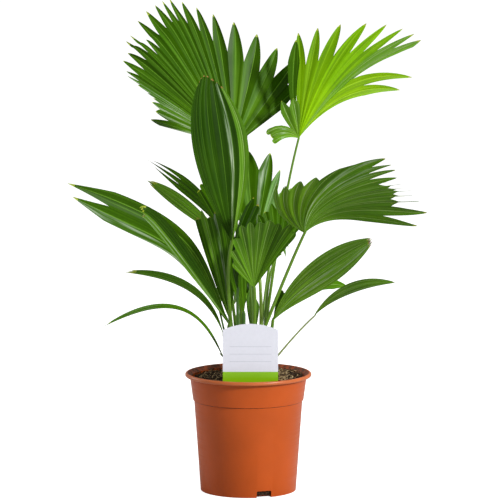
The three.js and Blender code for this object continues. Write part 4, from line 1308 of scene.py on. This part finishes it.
@dataclass
class Frond:
    """A stalk and the blades at its hub."""

    sizes: FrondSizes
    seed: int
    hair_lengths: tuple[float, float] = (16, 34)
    hair_radii: tuple[float, float] = (0.22, 0.1)

    def _materials(self) -> tuple[list[bpy.types.Material], dict[str, int]]:
        """Returns the blade's materials, and their indices by role."""
        materials: list[bpy.types.Material] = []
        roles: dict[str, int] = {}

        def take(role: str, name: str, make: Callable[[], bpy.types.Material]) -> None:
            """Adds a material under a role, made once for all fronds."""
            roles[role] = len(materials)
            materials.append(made_once(name, make))

        greens = [self.sizes.green]
        for blade in self.sizes.blades:
            greens += [green for green in (blade.green, blade.accent_green) if green]
        for green in dict.fromkeys(greens):
            finish = green.value
            for n, tone in enumerate(finish.tones):
                take(f"{green.name}_{n}", finish.lamina_name(tone), partial(finish.lamina_shader, tone))
            take(f"{green.name}_rib", f"{finish.slot}_rib", finish.rib_shader)
            # The painted highlight: pale streaks put into the colour where a leaflet reflects the light.
            take(f"{green.name}_sheen", f"{finish.slot}_sheen", finish.painted_sheen_shader)
        take("yellow", YELLOWED.name, YELLOWED.shader)
        take("dry", DRIED.name, DRIED.shader)
        return materials, roles

    def _hairs(self, mesh: MeshDraft, surface: BladeSurface, shade: int) -> None:
        """Adds loose fibres that hang on past the notches of a blade.

        Args:
            mesh: the mesh they go to.
            surface: the blade's surface.
            shade: their material index.
        """
        rng = np.random.default_rng(77 + self.seed)
        q = np.linspace(0, 1, 12)
        radius = lerp(*self.hair_radii, q)[:, None] * MM
        for _ in range(self.sizes.hairs):
            u = rng.uniform(0.0, 0.98)
            start = float(surface.split(np.array(u))) * 0.985
            length = rng.uniform(*self.hair_lengths) * MM
            bend, drift = rng.uniform(-0.1, 0.1), rng.uniform(-5, 5) * MM
            centre = surface.place(np.full(12, u) + bend * q**2 * 0.4, start + length * q, drift * q**2)
            side, up = axes(unit(np.gradient(centre, axis=0)), surface.face)
            turns = (0, 2 * math.pi / 3, 4 * math.pi / 3)
            rings = [centre + radius * (side * math.cos(a) + up * math.sin(a)) for a in turns]
            mesh.tube(np.stack(rings, axis=1), shade)

    def build(self) -> None:
        """Makes the blades as one piece and the stalk as another, and says what they stand for."""
        materials, roles = self._materials()
        leaf = MeshDraft()
        for sizes in self.sizes.blades:
            surface = BladeSurface(self.sizes.hub, sizes)
            Blade(surface, sizes.green or self.sizes.green, self.seed).draft(leaf, roles)
            if self.sizes.hairs:
                self._hairs(leaf, surface, roles["yellow"])
        blade = leaf.build(f"{self.sizes.name}_blade", materials, 38)
        stem = MeshDraft()
        Stalk(self.sizes).draft(stem)
        finish = self.sizes.stalk_green.value
        stalk = stem.build(f"{self.sizes.name}_stalk", [made_once(finish.name, finish.shader)], 50)
        for piece in (blade, stalk):
            dress(piece, self.sizes.green.value.slot, self.sizes.name)


def dress(piece: bpy.types.Object, slot: str, *nodes: str) -> None:
    """Says what a piece rides on and stands for: attaches it, hides the solids it replaces and logs them.

    Args:
        piece: the finished piece.
        slot: the record's material slot; not used.
        nodes: the solids it replaces.
    """
    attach(piece, BODY)
    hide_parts(*nodes)
    log.info("%s: %d faces, stands for %s", piece.name, len(piece.data.polygons), ", ".join(nodes))


# ---- modelling by hand -------------------------------------------------------------------------


class Bench:
    """The hand's steps on one object at a time."""

    @staticmethod
    def take(name: str) -> bpy.types.Object:
        """Names the primitive just added and returns it."""
        obj = bpy.context.active_object
        obj.name = name
        obj.data.name = name
        return obj

    @staticmethod
    def clear() -> None:
        """Deselects everything."""
        if bpy.context.object and bpy.context.object.mode != "OBJECT":
            bpy.ops.object.mode_set(mode="OBJECT")
        bpy.ops.object.select_all(action="DESELECT")

    @classmethod
    def hold(cls, obj: bpy.types.Object) -> None:
        """Selects one object alone and makes it active."""
        cls.clear()
        obj.select_set(True)
        bpy.context.view_layer.objects.active = obj

    @classmethod
    def pick(cls, obj: bpy.types.Object, kind: str, test: Callable[[Vector, Vector], bool]) -> None:
        """Enters edit mode with the faces or edges that pass a test selected.

        Args:
            obj: the object to edit.
            kind: FACE or EDGE.
            test: takes a face's centre and normal, or an edge's middle and direction.
        """
        cls.hold(obj)
        bpy.ops.object.mode_set(mode="EDIT")
        bpy.ops.mesh.select_mode(type=kind)
        bpy.ops.mesh.select_all(action="DESELECT")
        bpy.ops.object.mode_set(mode="OBJECT")
        mesh = obj.data
        if kind == "FACE":
            for face in mesh.polygons:
                face.select = test(face.center, face.normal)
        else:
            for edge in mesh.edges:
                a, b = (mesh.vertices[i].co for i in edge.vertices)
                edge.select = test((a + b) / 2, (b - a).normalized())
        bpy.ops.object.mode_set(mode="EDIT")

    @classmethod
    def bevel(
        cls, obj: bpy.types.Object, test: Callable[[Vector, Vector], bool], width: float, segments: int
    ) -> None:
        """Rounds the edges that pass a test, by a width in millimetres."""
        cls.pick(obj, "EDGE", test)
        bpy.ops.mesh.bevel(offset=width * MM, segments=segments, affect="EDGES")
        bpy.ops.object.mode_set(mode="OBJECT")

    @staticmethod
    def pull(rise: float, scale: float, centre: Point) -> None:
        """Extrudes the selected faces upwards and scales them about an axis.

        Args:
            rise: how far up, in metres.
            scale: their new size over the old one.
            centre: the point they are scaled about.
        """
        bpy.ops.mesh.extrude_region_move(TRANSFORM_OT_translate={"value": (0, 0, rise)})
        bpy.ops.transform.resize(value=(scale, scale, 1), center_override=centre)

    @classmethod
    def apply(cls, obj: bpy.types.Object, kind: str, **settings: object) -> None:
        """Adds a modifier and applies it.

        Args:
            obj: the object.
            kind: the modifier's type.
            settings: its settings by name.
        """
        cls.hold(obj)
        modifier = obj.modifiers.new(kind.lower(), kind)
        for name, value in settings.items():
            setattr(modifier, name, value)
        bpy.ops.object.modifier_apply(modifier=modifier.name)

    @classmethod
    def cut(cls, obj: bpy.types.Object, cutter: bpy.types.Object, operation: str = "DIFFERENCE") -> None:
        """Cuts an object by another, which is used up."""
        cls.apply(obj, "BOOLEAN", object=cutter, operation=operation, solver="EXACT")
        bpy.data.objects.remove(cutter)

    @staticmethod
    def turn_outward() -> None:
        """Turns all faces of the object in edit mode outward."""
        bpy.ops.mesh.select_all(action="SELECT")
        bpy.ops.mesh.normals_make_consistent(inside=False)

    @classmethod
    def settle(cls, obj: bpy.types.Object, crease: float, *materials: bpy.types.Material) -> None:
        """Puts an object's place into its mesh, smooths it and gives it materials.

        Args:
            obj: the object.
            crease: the angle in degrees above which an edge stays sharp.
            materials: its materials, in the order of the indices.
        """
        cls.hold(obj)
        bpy.ops.object.transform_apply(location=True, rotation=True, scale=True)
        bpy.ops.object.shade_smooth_by_angle(angle=math.radians(crease))
        for material in materials:
            obj.data.materials.append(material)


@dataclass
class NurseryPot:
    """The round tapering pot, with its collar, rolled lip, drain notches and holes."""

    height: float = 159.8
    lip_radius: float = 85
    lip_height: float = 5.2
    lip_wall: float = 3.6
    collar_top: float = 78.6
    collar_foot: float = 74.4
    collar_height: float = 36.4
    step: float = 1.0
    body_top: float = 72.9
    base: float = 64.3
    wall: float = 2.2
    floor: float = 2.6
    sides: int = 128
    notch_count: int = 3
    notch_width: float = 20.5
    notch_height: float = 9
    notch_depth: float = 9
    notch_first: float = -70.8
    drain_count: int = 5
    drain_radius: float = 5
    drain_circle: float = 34
    lip_zone: float = 150
    # Above this height, faces that look down take the inside finish as a painted shadow line.
    painted_shadow_zone: float = 100
    wear_and_highlight_band: float = 2.4
    finish: PotFinish = PotFinish()

    def rings(self) -> list[tuple[float, float]]:
        """Returns the radius and height of each ring of the wall, up the outside and down the inside."""
        collar = self.height - self.collar_height
        lip = self.height - self.lip_height
        return [
            (self.body_top, collar - self.step),
            (self.collar_foot, collar),
            (self.collar_top, lip),
            (self.lip_radius, lip),
            (self.lip_radius, self.height),
            (self.lip_radius - self.lip_wall, self.height),
            (self.collar_top - self.wall, lip),
            (self.collar_foot - self.wall, collar),
            (self.base - self.wall, self.floor),
        ]

    def build(self) -> bpy.types.Object:
        """Models the pot from a disc drawn up ring by ring.

        Returns:
            The pot.
        """
        Bench.clear()
        bpy.ops.mesh.primitive_circle_add(vertices=self.sides, radius=self.base * MM, fill_type="NGON")
        pot = Bench.take("pot_moulding")
        Bench.pick(pot, "FACE", lambda centre, normal: True)
        radius, height = self.base, 0.0
        for next_radius, next_height in self.rings():
            Bench.pull((next_height - height) * MM, next_radius / radius, (0, 0, next_height * MM))
            radius, height = next_radius, next_height
        Bench.turn_outward()
        self._round(pot)
        self._notches(pot)
        self._drains(pot)
        Bench.settle(pot, 32, self.finish.wall(), self.finish.rim(), self.finish.inside())
        for face in pot.data.polygons:
            centre, normal = face.center, face.normal
            inward = normal.x * centre.x + normal.y * centre.y < 0
            # Downward faces under the lip and the collar's step take the inside finish as a painted shadow
            # line; the inner wall above the soil takes it as peat and painted shade.
            high, painted_shadow_ledge = centre.z > self.lip_zone * MM, centre.z > self.painted_shadow_zone * MM and normal.z < -0.6
            # A band round the lip's outer top edge takes the rim finish: partly wear, partly a painted
            # highlight.
            on_rim = high and math.hypot(centre.x, centre.y) > (self.lip_radius - self.wear_and_highlight_band) * MM
            face.material_index = 1 if on_rim else 2 * int(high and inward or painted_shadow_ledge)
        return pot

    def _round(self, pot: bpy.types.Object) -> None:
        """Rolls the lip and softens the foot and the collar's step."""
        lip = (self.height - self.lip_height / 2) * MM

        def on_lip(middle: Vector, direction: Vector) -> bool:
            """Tells whether an edge runs round the lip's outer corners."""
            out = math.hypot(middle.x, middle.y)
            return middle.z > lip - 5 * MM and out > (self.lip_radius - 1) * MM and abs(direction.z) < 0.1

        Bench.bevel(pot, on_lip, 2.3, 5)
        foot = (self.base - 2) * MM

        def on_corner(middle: Vector, direction: Vector) -> bool:
            """Tells whether an edge runs round the foot, the step or the lip's inner corner."""
            out = math.hypot(middle.x, middle.y)
            if abs(direction.z) > 0.1:
                return False
            if middle.z < 1 * MM:
                return out > foot
            step = abs(middle.z - (self.height - self.collar_height)) < 2 * MM
            inner = middle.z > (self.height - 1) * MM and out < (self.lip_radius - 2) * MM
            return (step and out > self.body_top * MM * 0.99) or inner

        Bench.bevel(pot, on_corner, 0.4, 3)

    def _notches(self, pot: bpy.types.Object) -> None:
        """Cuts the arched drain notches out of the foot."""
        for n in range(self.notch_count):
            turn = math.radians(self.notch_first + 360 * n / self.notch_count)
            reach = (self.base - self.notch_depth / 2 + 3) * MM
            Bench.clear()
            bpy.ops.mesh.primitive_cube_add(
                size=1,
                location=(reach * math.cos(turn), reach * math.sin(turn), 0),
                rotation=(0, 0, turn),
                scale=((self.notch_depth + 6) * MM, self.notch_width * MM, 2 * self.notch_height * MM),
            )
            cutter = Bench.take("notch_cutter")
            bpy.ops.object.transform_apply(location=False, rotation=False, scale=True)
            Bench.bevel(cutter, lambda middle, direction: middle.z > 0 and abs(direction.x) > 0.9, 1.8, 4)
            Bench.cut(pot, cutter)

    def _drains(self, pot: bpy.types.Object) -> None:
        """Drills the round drain holes through the floor."""
        for n in range(self.drain_count):
            turn = 2 * math.pi * n / self.drain_count
            Bench.clear()
            bpy.ops.mesh.primitive_cylinder_add(
                vertices=32,
                radius=self.drain_radius * MM,
                depth=4 * self.floor * MM,
                location=(
                    self.drain_circle * MM * math.cos(turn),
                    self.drain_circle * MM * math.sin(turn),
                    self.floor * MM / 2,
                ),
            )
            Bench.cut(pot, Bench.take("drain_cutter"))


@dataclass
class PottingSoil:
    """The soil's uneven crown, with its crumbs of bark and loose fibres."""

    top: float = 152.0
    foot: float = 3.2
    top_radius: float = 75.0
    foot_radius: float = 61.6
    crumbs: int = 2100
    fibres: int = 420
    heap: float = 3.4
    insets: tuple[float, ...] = (4, 8, 12, 14, 14, 12)
    proportions: Point = (1.5, 1.0, 0.6)
    coarse_from: float = 15
    largest: float = 4.5
    largest_by_card: float = 0.7
    bark_share: float = 0.42
    seed: int = 5
    peat: SoilFinish = SoilFinish("soil_peat", "1d140d", "4a3625")
    bark: SoilFinish = SoilFinish("soil_bark", "33210f", "6e5234", 300.0)
    tan: SoilFinish = SoilFinish("soil_fibre", "94744a", "d8c094", 500.0)

    def build(self) -> list[bpy.types.Object]:
        """Makes the body, the crumbs and the fibres.

        Returns:
            The three pieces.
        """
        return [self._body(), self._crumbs(), self._fibres()]

    def _body(self) -> bpy.types.Object:
        """Models the body from a cylinder whose top is inset, subdivided and roughened."""
        Bench.clear()
        height = self.top - self.foot
        bpy.ops.mesh.primitive_cylinder_add(
            vertices=72,
            radius=self.top_radius * MM,
            depth=height * MM,
            location=(0, 0, (self.foot + height / 2) * MM),
        )
        soil = Bench.take("soil_body")
        bpy.ops.object.transform_apply(location=True, rotation=False, scale=False)
        Bench.pick(soil, "FACE", lambda centre, normal: normal.z < -0.9)
        share = self.foot_radius / self.top_radius
        bpy.ops.transform.resize(value=(share, share, 1), center_override=(0, 0, self.foot * MM))
        Bench.pick(soil, "FACE", lambda centre, normal: normal.z > 0.9)
        for thickness in self.insets:
            bpy.ops.mesh.inset(thickness=thickness * MM)
        Bench.pick(soil, "FACE", lambda centre, normal: normal.z > 0.9)
        bpy.ops.mesh.subdivide(number_cuts=2)
        bpy.ops.mesh.quads_convert_to_tris()
        bpy.ops.object.mode_set(mode="OBJECT")
        rim = (self.top_radius - 3.5) * MM
        Bench.pick(soil, "FACE", lambda c, n: n.z > 0.9 and math.hypot(c.x, c.y) < rim)
        bpy.ops.transform.translate(value=(0, 0, 0.6 * MM))
        bpy.ops.transform.vertex_random(offset=1.1 * MM, uniform=1.0, normal=0.0, seed=self.seed)
        Bench.settle(soil, 80, made_once(self.peat.name, self.peat.shader))
        return soil

    def _scatter(self, rng: np.random.Generator, count: int, rim: float) -> np.ndarray:
        """Returns places spread evenly over the soil, out to the rim."""
        angle = rng.uniform(0, 2 * math.pi, count)
        out = rim * np.sqrt(rng.uniform(0, 1, count))
        return np.stack([out * np.cos(angle), out * np.sin(angle)], axis=1)

    def _heaped(self, x: float, y: float) -> float:
        """Returns how much higher the loose soil lies at a place, heaped up to the back and the right."""
        back, right = max(0.0, y / self.top_radius), max(0.0, x / self.top_radius)
        return self.heap * max(back, right) * math.hypot(x, y) / self.top_radius

    def _crumbs(self) -> bpy.types.Object:
        """Scatters angular crumbs of peat and bark, coarser on the right."""
        rng = np.random.default_rng(self.seed)
        draft = MeshDraft()
        corners = np.array([[x, y, z] for z in (-1, 1) for y in (-1, 1) for x in (-1, 1)], float)
        faces = [(0, 2, 3, 1), (4, 5, 7, 6), (0, 1, 5, 4), (2, 6, 7, 3), (0, 4, 6, 2), (1, 3, 7, 5)]
        for x, y in self._scatter(rng, self.crumbs, self.top_radius - 2):
            coarse = 1.35 if x > self.coarse_from else 0.85
            by_card = abs(y - CARD_Y) < 3.5 and abs(x - CARD_X) < 39
            size = rng.lognormal(0, 0.45) * coarse * np.array(self.proportions)
            size = np.minimum(size, self.largest_by_card if by_card else self.largest)
            turn, tilt = rng.uniform(0, math.tau), rng.normal(0, 0.5)
            shape = corners * size / 2 * rng.uniform(0.55, 1.25, (8, 3))
            shape = shape @ np.array([
                [math.cos(turn), math.sin(turn), 0],
                [-math.sin(turn), math.cos(turn), 0],
                [0, 0, 1],
            ])
            shape[:, 2] += tilt * shape[:, 0]
            place = np.array([x, y, self.top + 0.9 + rng.uniform(0, 0.9) + self._heaped(x, y)])
            bark = int(rng.uniform() < self.bark_share)
            draft.add((shape + place) * MM, np.zeros((8, 2)), faces, [bark] * 6)
        materials = [made_once(self.peat.name, self.peat.shader), self.bark.shader()]
        return draft.build("soil_crumbs", materials, 30)

    def _fibres(self) -> bpy.types.Object:
        """Scatters tan fibres that lie bent over the crumbs, most of them on the right."""
        rng = np.random.default_rng(self.seed + 1)
        draft = MeshDraft()
        for x, y in self._scatter(rng, self.fibres, self.top_radius - 8):
            if x < 0 and rng.uniform() < 0.55:
                continue
            length, turn = rng.uniform(5, 17), rng.uniform(0, math.tau)
            bend, rise = rng.uniform(-1.2, 1.2), rng.uniform(0.6, 2.4)
            q = np.linspace(0, 1, 7)
            heading = turn + bend * q
            step = length / 6
            run = np.cumsum(np.stack([np.cos(heading), np.sin(heading)], axis=1) * step, axis=0)
            height = self.top + 1.6 + self._heaped(x, y) + rise * np.sin(math.pi * q)
            centre = np.column_stack([run + [x, y], height])
            near = np.hypot(centre[:, 0], centre[:, 1]) > self.top_radius - 2
            if near.any() or (abs(centre[:, 1] - CARD_Y) < 2.5).any():
                continue
            wide = rng.uniform(0.3, 0.95)
            across = np.column_stack([-np.sin(heading), np.cos(heading), np.zeros(7)]) * wide / 2
            up = np.array([0, 0, wide * 0.3])
            rings = np.stack([centre - across, centre - up, centre + across, centre + up], axis=1)
            draft.tube(rings * MM)
        return draft.build("soil_fibres", [self.tan.shader()], 60)


@dataclass
class LabelCard:
    """A plain plant card with an arched top, a green band and ruled lines to write on."""

    centre_x: float = CARD_X
    plane_y: float = CARD_Y
    width: float = 73.6
    thickness: float = 0.8
    foot: float = 141.0
    shoulder: float = 226.4
    crown: float = 234.6
    corner: float = 3.0
    band_low: float = 154.5
    band_high: float = 170.2
    rules: tuple[float, ...] = (184.0, 194.0, 204.0)
    rule_height: float = 0.55
    margin: float = 9.0
    card: CardFinish = CardFinish("card_face", "eeeff9")
    band: CardFinish = CardFinish("card_band", "92cf08")
    rule: CardFinish = CardFinish("card_rule", "c6c8d4")
    edge: CardFinish = CardFinish("card_edge", "c9cad2", 0.6)

    def build(self) -> bpy.types.Object:
        """Models the card from a slab cut by a wide disc and divided along its print.

        Returns:
            The card.
        """
        Bench.clear()
        bpy.ops.mesh.primitive_cube_add(
            size=1,
            location=(self.centre_x * MM, self.plane_y * MM, (self.foot + self.crown) / 2 * MM),
            scale=(self.width * MM, self.thickness * MM, (self.crown - self.foot) * MM),
        )
        card = Bench.take("label_card_print")
        bpy.ops.object.transform_apply(location=True, rotation=False, scale=True)
        half, rise = self.width / 2, self.crown - self.shoulder
        arc = (half**2 + rise**2) / (2 * rise)
        Bench.clear()
        bpy.ops.mesh.primitive_cylinder_add(
            vertices=720,
            radius=arc * MM,
            depth=4 * self.thickness * MM,
            location=(self.centre_x * MM, self.plane_y * MM, (self.crown - arc) * MM),
            rotation=(math.pi / 2, 0, 0),
        )
        Bench.cut(card, Bench.take("arch_cutter"), "INTERSECT")

        def at_shoulder(middle: Vector, direction: Vector) -> bool:
            """Tells whether an edge is one of the two upper corners."""
            high = middle.z > (self.shoulder - 2) * MM
            return high and abs(direction.y) > 0.9 and abs(middle.x - self.centre_x * MM) > (half - 1) * MM

        Bench.bevel(card, at_shoulder, self.corner, 5)
        self._divide(card)
        finishes = (self.card, self.band, self.rule, self.edge)
        Bench.settle(card, 40, *(finish.shader() for finish in finishes))
        for face in card.data.polygons:
            face.material_index = self._print_at(face.center, face.normal)
        return card

    def _divide(self, card: bpy.types.Object) -> None:
        """Divides the card along the edges of its band, its rules and their margins."""
        heights = [self.band_low, self.band_high]
        for rule in self.rules:
            heights += [rule - self.rule_height / 2, rule + self.rule_height / 2]
        cuts = [((0, 0, height * MM), (0, 0, 1)) for height in heights]
        for hand in (-1, 1):
            edge = self.centre_x + hand * (self.width / 2 - self.margin)
            cuts.append(((edge * MM, 0, 0), (1, 0, 0)))
        for point, normal in cuts:
            Bench.hold(card)
            bpy.ops.object.mode_set(mode="EDIT")
            bpy.ops.mesh.select_all(action="SELECT")
            bpy.ops.mesh.bisect(plane_co=point, plane_no=normal)
            bpy.ops.object.mode_set(mode="OBJECT")

    def _print_at(self, centre: Vector, normal: Vector) -> int:
        """Returns the material index of a face by its place on the card."""
        if abs(normal.y) < 0.9:
            return 3
        height, out = centre.z / MM, abs(centre.x / MM - self.centre_x)
        if normal.y < 0 and self.band_low < height < self.band_high:
            return 1
        ruled = any(abs(height - rule) < self.rule_height / 2 for rule in self.rules)
        if normal.y < 0 and ruled and out < self.width / 2 - self.margin:
            return 2
        return 0


@dataclass
class Stem:
    """A short stem wrapped in the brown fibres of its old sheaths."""

    name: str
    place: tuple[float, float]
    seed: int
    foot_z: float = SOIL_TOP + GAP
    strands: int = 46
    fray: float = 2.2
    core: SoilFinish = SoilFinish("sheath_core", "4a3a1e", "7d6a3a", 260.0)
    fibre: SoilFinish = SoilFinish("sheath_fibre", "5e4322", "a5824e", 420.0)

    def build(self) -> list[bpy.types.Object]:
        """Makes the stem's core and its fibres.

        Returns:
            The two pieces.
        """
        return [self._core(), self._strands()]

    def _core(self) -> bpy.types.Object:
        """Models the core from a disc drawn up in swelling rings."""
        x, y = self.place
        Bench.clear()
        bpy.ops.mesh.primitive_circle_add(
            vertices=24,
            radius=STEM_FOOT * MM,
            fill_type="NGON",
            location=(x * MM, y * MM, self.foot_z * MM),
        )
        core = Bench.take(f"stem_{self.name}_core")
        bpy.ops.object.transform_apply(location=True, rotation=False, scale=False)
        Bench.pick(core, "FACE", lambda centre, normal: True)
        radius, rings = STEM_FOOT, 8
        for n in range(1, rings + 1):
            share = n / rings
            swell = 1 + 0.06 * math.sin(9 * share)
            following = lerp(STEM_FOOT, STEM_TOP * 0.9, share) * swell
            height = self.foot_z + share * STEM_HEIGHT
            Bench.pull(STEM_HEIGHT / rings * MM, following / radius, (x * MM, y * MM, height * MM))
            radius = following
        Bench.turn_outward()
        Bench.settle(core, 50, made_once(self.core.name, self.core.shader))
        return core

    def _strands(self) -> bpy.types.Object:
        """Winds thin fibres up round the core, frayed at their ends."""
        rng = np.random.default_rng(900 + self.seed)
        draft = MeshDraft()
        x, y = self.place
        for _ in range(self.strands):
            turn = rng.uniform(0, math.tau)
            wind, length = rng.normal(0, 0.9), rng.uniform(9, 27)
            q = np.linspace(0, 1, 8)
            height = rng.uniform(0, 6) + length * q
            share = np.clip(height / STEM_HEIGHT, 0, 1)
            lift, fray = rng.uniform(0, 0.5), rng.uniform(0, 1)
            out = lerp(STEM_FOOT, STEM_TOP, share) + 0.35 + lift + self.fray * q**4 * fray
            angle = turn + wind * q
            centre = np.column_stack([
                x + out * np.cos(angle),
                y + out * np.sin(angle),
                self.foot_z + height,
            ])
            wide = rng.uniform(0.2, 0.5)
            across = np.column_stack([-np.sin(angle), np.cos(angle), np.zeros(8)]) * wide
            outward = np.column_stack([np.cos(angle), np.sin(angle), np.zeros(8)]) * wide * 0.4
            rings = [centre - across, centre - outward, centre + across, centre + outward]
            draft.tube(np.stack(rings, axis=1) * MM)
        material = made_once(self.fibre.name, self.fibre.shader)
        return draft.build(f"stem_{self.name}_fibres", [material], 70)


# ---- studio ------------------------------------------------------------------------------------


@dataclass(frozen=True)
class Lamp:
    """One soft area light."""

    name: str
    place: Point
    size: float
    power: float


@dataclass
class Studio:
    """A pale floor, soft lights and the camera."""

    aim: Point = (0.0023, 0.0, 0.3257)
    distance: float = 5.0
    pitch: float = 7.4
    lens: float = 268.6
    floor_size: float = 60.0
    lamps: tuple[Lamp, ...] = (
        Lamp("key", (3.0, -2.6, 2.2), 0.6, 170.0),
        Lamp("kicker", (-2.6, 1.3, 1.0), 0.7, 22.0),
        Lamp("top", (0.4, 1.1, 3.0), 0.9, 36.0),
    )
    sky: float = 0.3
    backdrop: float = 1.0

    def build(self) -> None:
        """Sets the camera, the floor, the lights and the world."""
        self._camera()
        self._floor()
        for lamp in self.lamps:
            self._light(lamp)
        self._world()
        bpy.context.scene.view_settings.view_transform = "Standard"

    def _camera(self) -> None:
        """Aims a long lens at the plant from the front, a little above it."""
        pitch = math.radians(self.pitch)
        data = bpy.data.cameras.new("camera")
        data.lens = self.lens
        data.clip_end = 200.0
        camera = bpy.data.objects.new("camera", data)
        aim = Vector(self.aim)
        camera.location = aim + Vector((0, -math.cos(pitch), math.sin(pitch))) * self.distance
        camera.rotation_euler = (aim - camera.location).to_track_quat("-Z", "Y").to_euler()
        bpy.context.scene.collection.objects.link(camera)
        bpy.context.scene.camera = camera

    def _floor(self) -> None:
        """Lays the plain pale floor."""
        Bench.clear()
        bpy.ops.mesh.primitive_plane_add(size=self.floor_size, location=(0, 0, 0))
        floor = Bench.take("floor")
        shader = Shader("floor_paper")
        paper, white = srgb("c4c4c4"), srgb("ffffff")
        shader.set(Base_Color=paper, Roughness=0.9, Specular_IOR_Level=0.1, Emission_Color=white)
        seen = shader.tree.nodes.new("ShaderNodeLightPath").outputs["Is Camera Ray"]
        shader.set(Emission_Strength=shader.arithmetic("MULTIPLY", seen, 0.9))
        floor.data.materials.append(shader.material)

    def _light(self, lamp: Lamp) -> None:
        """Hangs one lamp, turned to the plant."""
        data = bpy.data.lights.new(lamp.name, "AREA")
        data.size = lamp.size
        data.energy = lamp.power
        light = bpy.data.objects.new(lamp.name, data)
        light.location = lamp.place
        light.rotation_euler = (Vector(self.aim) - light.location).to_track_quat("-Z", "Y").to_euler()
        bpy.context.scene.collection.objects.link(light)

    def _world(self) -> None:
        """Fills the studio with soft white light."""
        world = bpy.data.worlds.new("studio")
        world.use_nodes = True
        tree = world.node_tree
        background = tree.nodes["Background"]
        background.inputs["Color"].default_value = WHITE
        seen = tree.nodes.new("ShaderNodeLightPath").outputs["Is Camera Ray"]
        strength = tree.nodes.new("ShaderNodeMapRange")
        strength.inputs["To Min"].default_value = self.sky
        strength.inputs["To Max"].default_value = self.backdrop
        tree.links.new(seen, strength.inputs["Value"])
        tree.links.new(strength.outputs["Result"], background.inputs["Strength"])
        bpy.context.scene.world = world


def main() -> None:
    """Builds the studio and then the part, piece by piece."""
    logging.basicConfig(level=logging.INFO, format="%(message)s")
    Studio().build()
    dress(NurseryPot().build(), "pot", "pot")
    for piece in PottingSoil().build():
        dress(piece, "soil", "soil")
    dress(LabelCard().build(), "label", "label_card")
    for n, (name, place) in enumerate(STEMS.items()):
        for piece in Stem(name, place, n).build():
            dress(piece, "stem", f"stem_{name}")
    for n, sizes in enumerate(FRONDS):
        Frond(sizes, n).build()


if __name__ == "__main__":
    main()
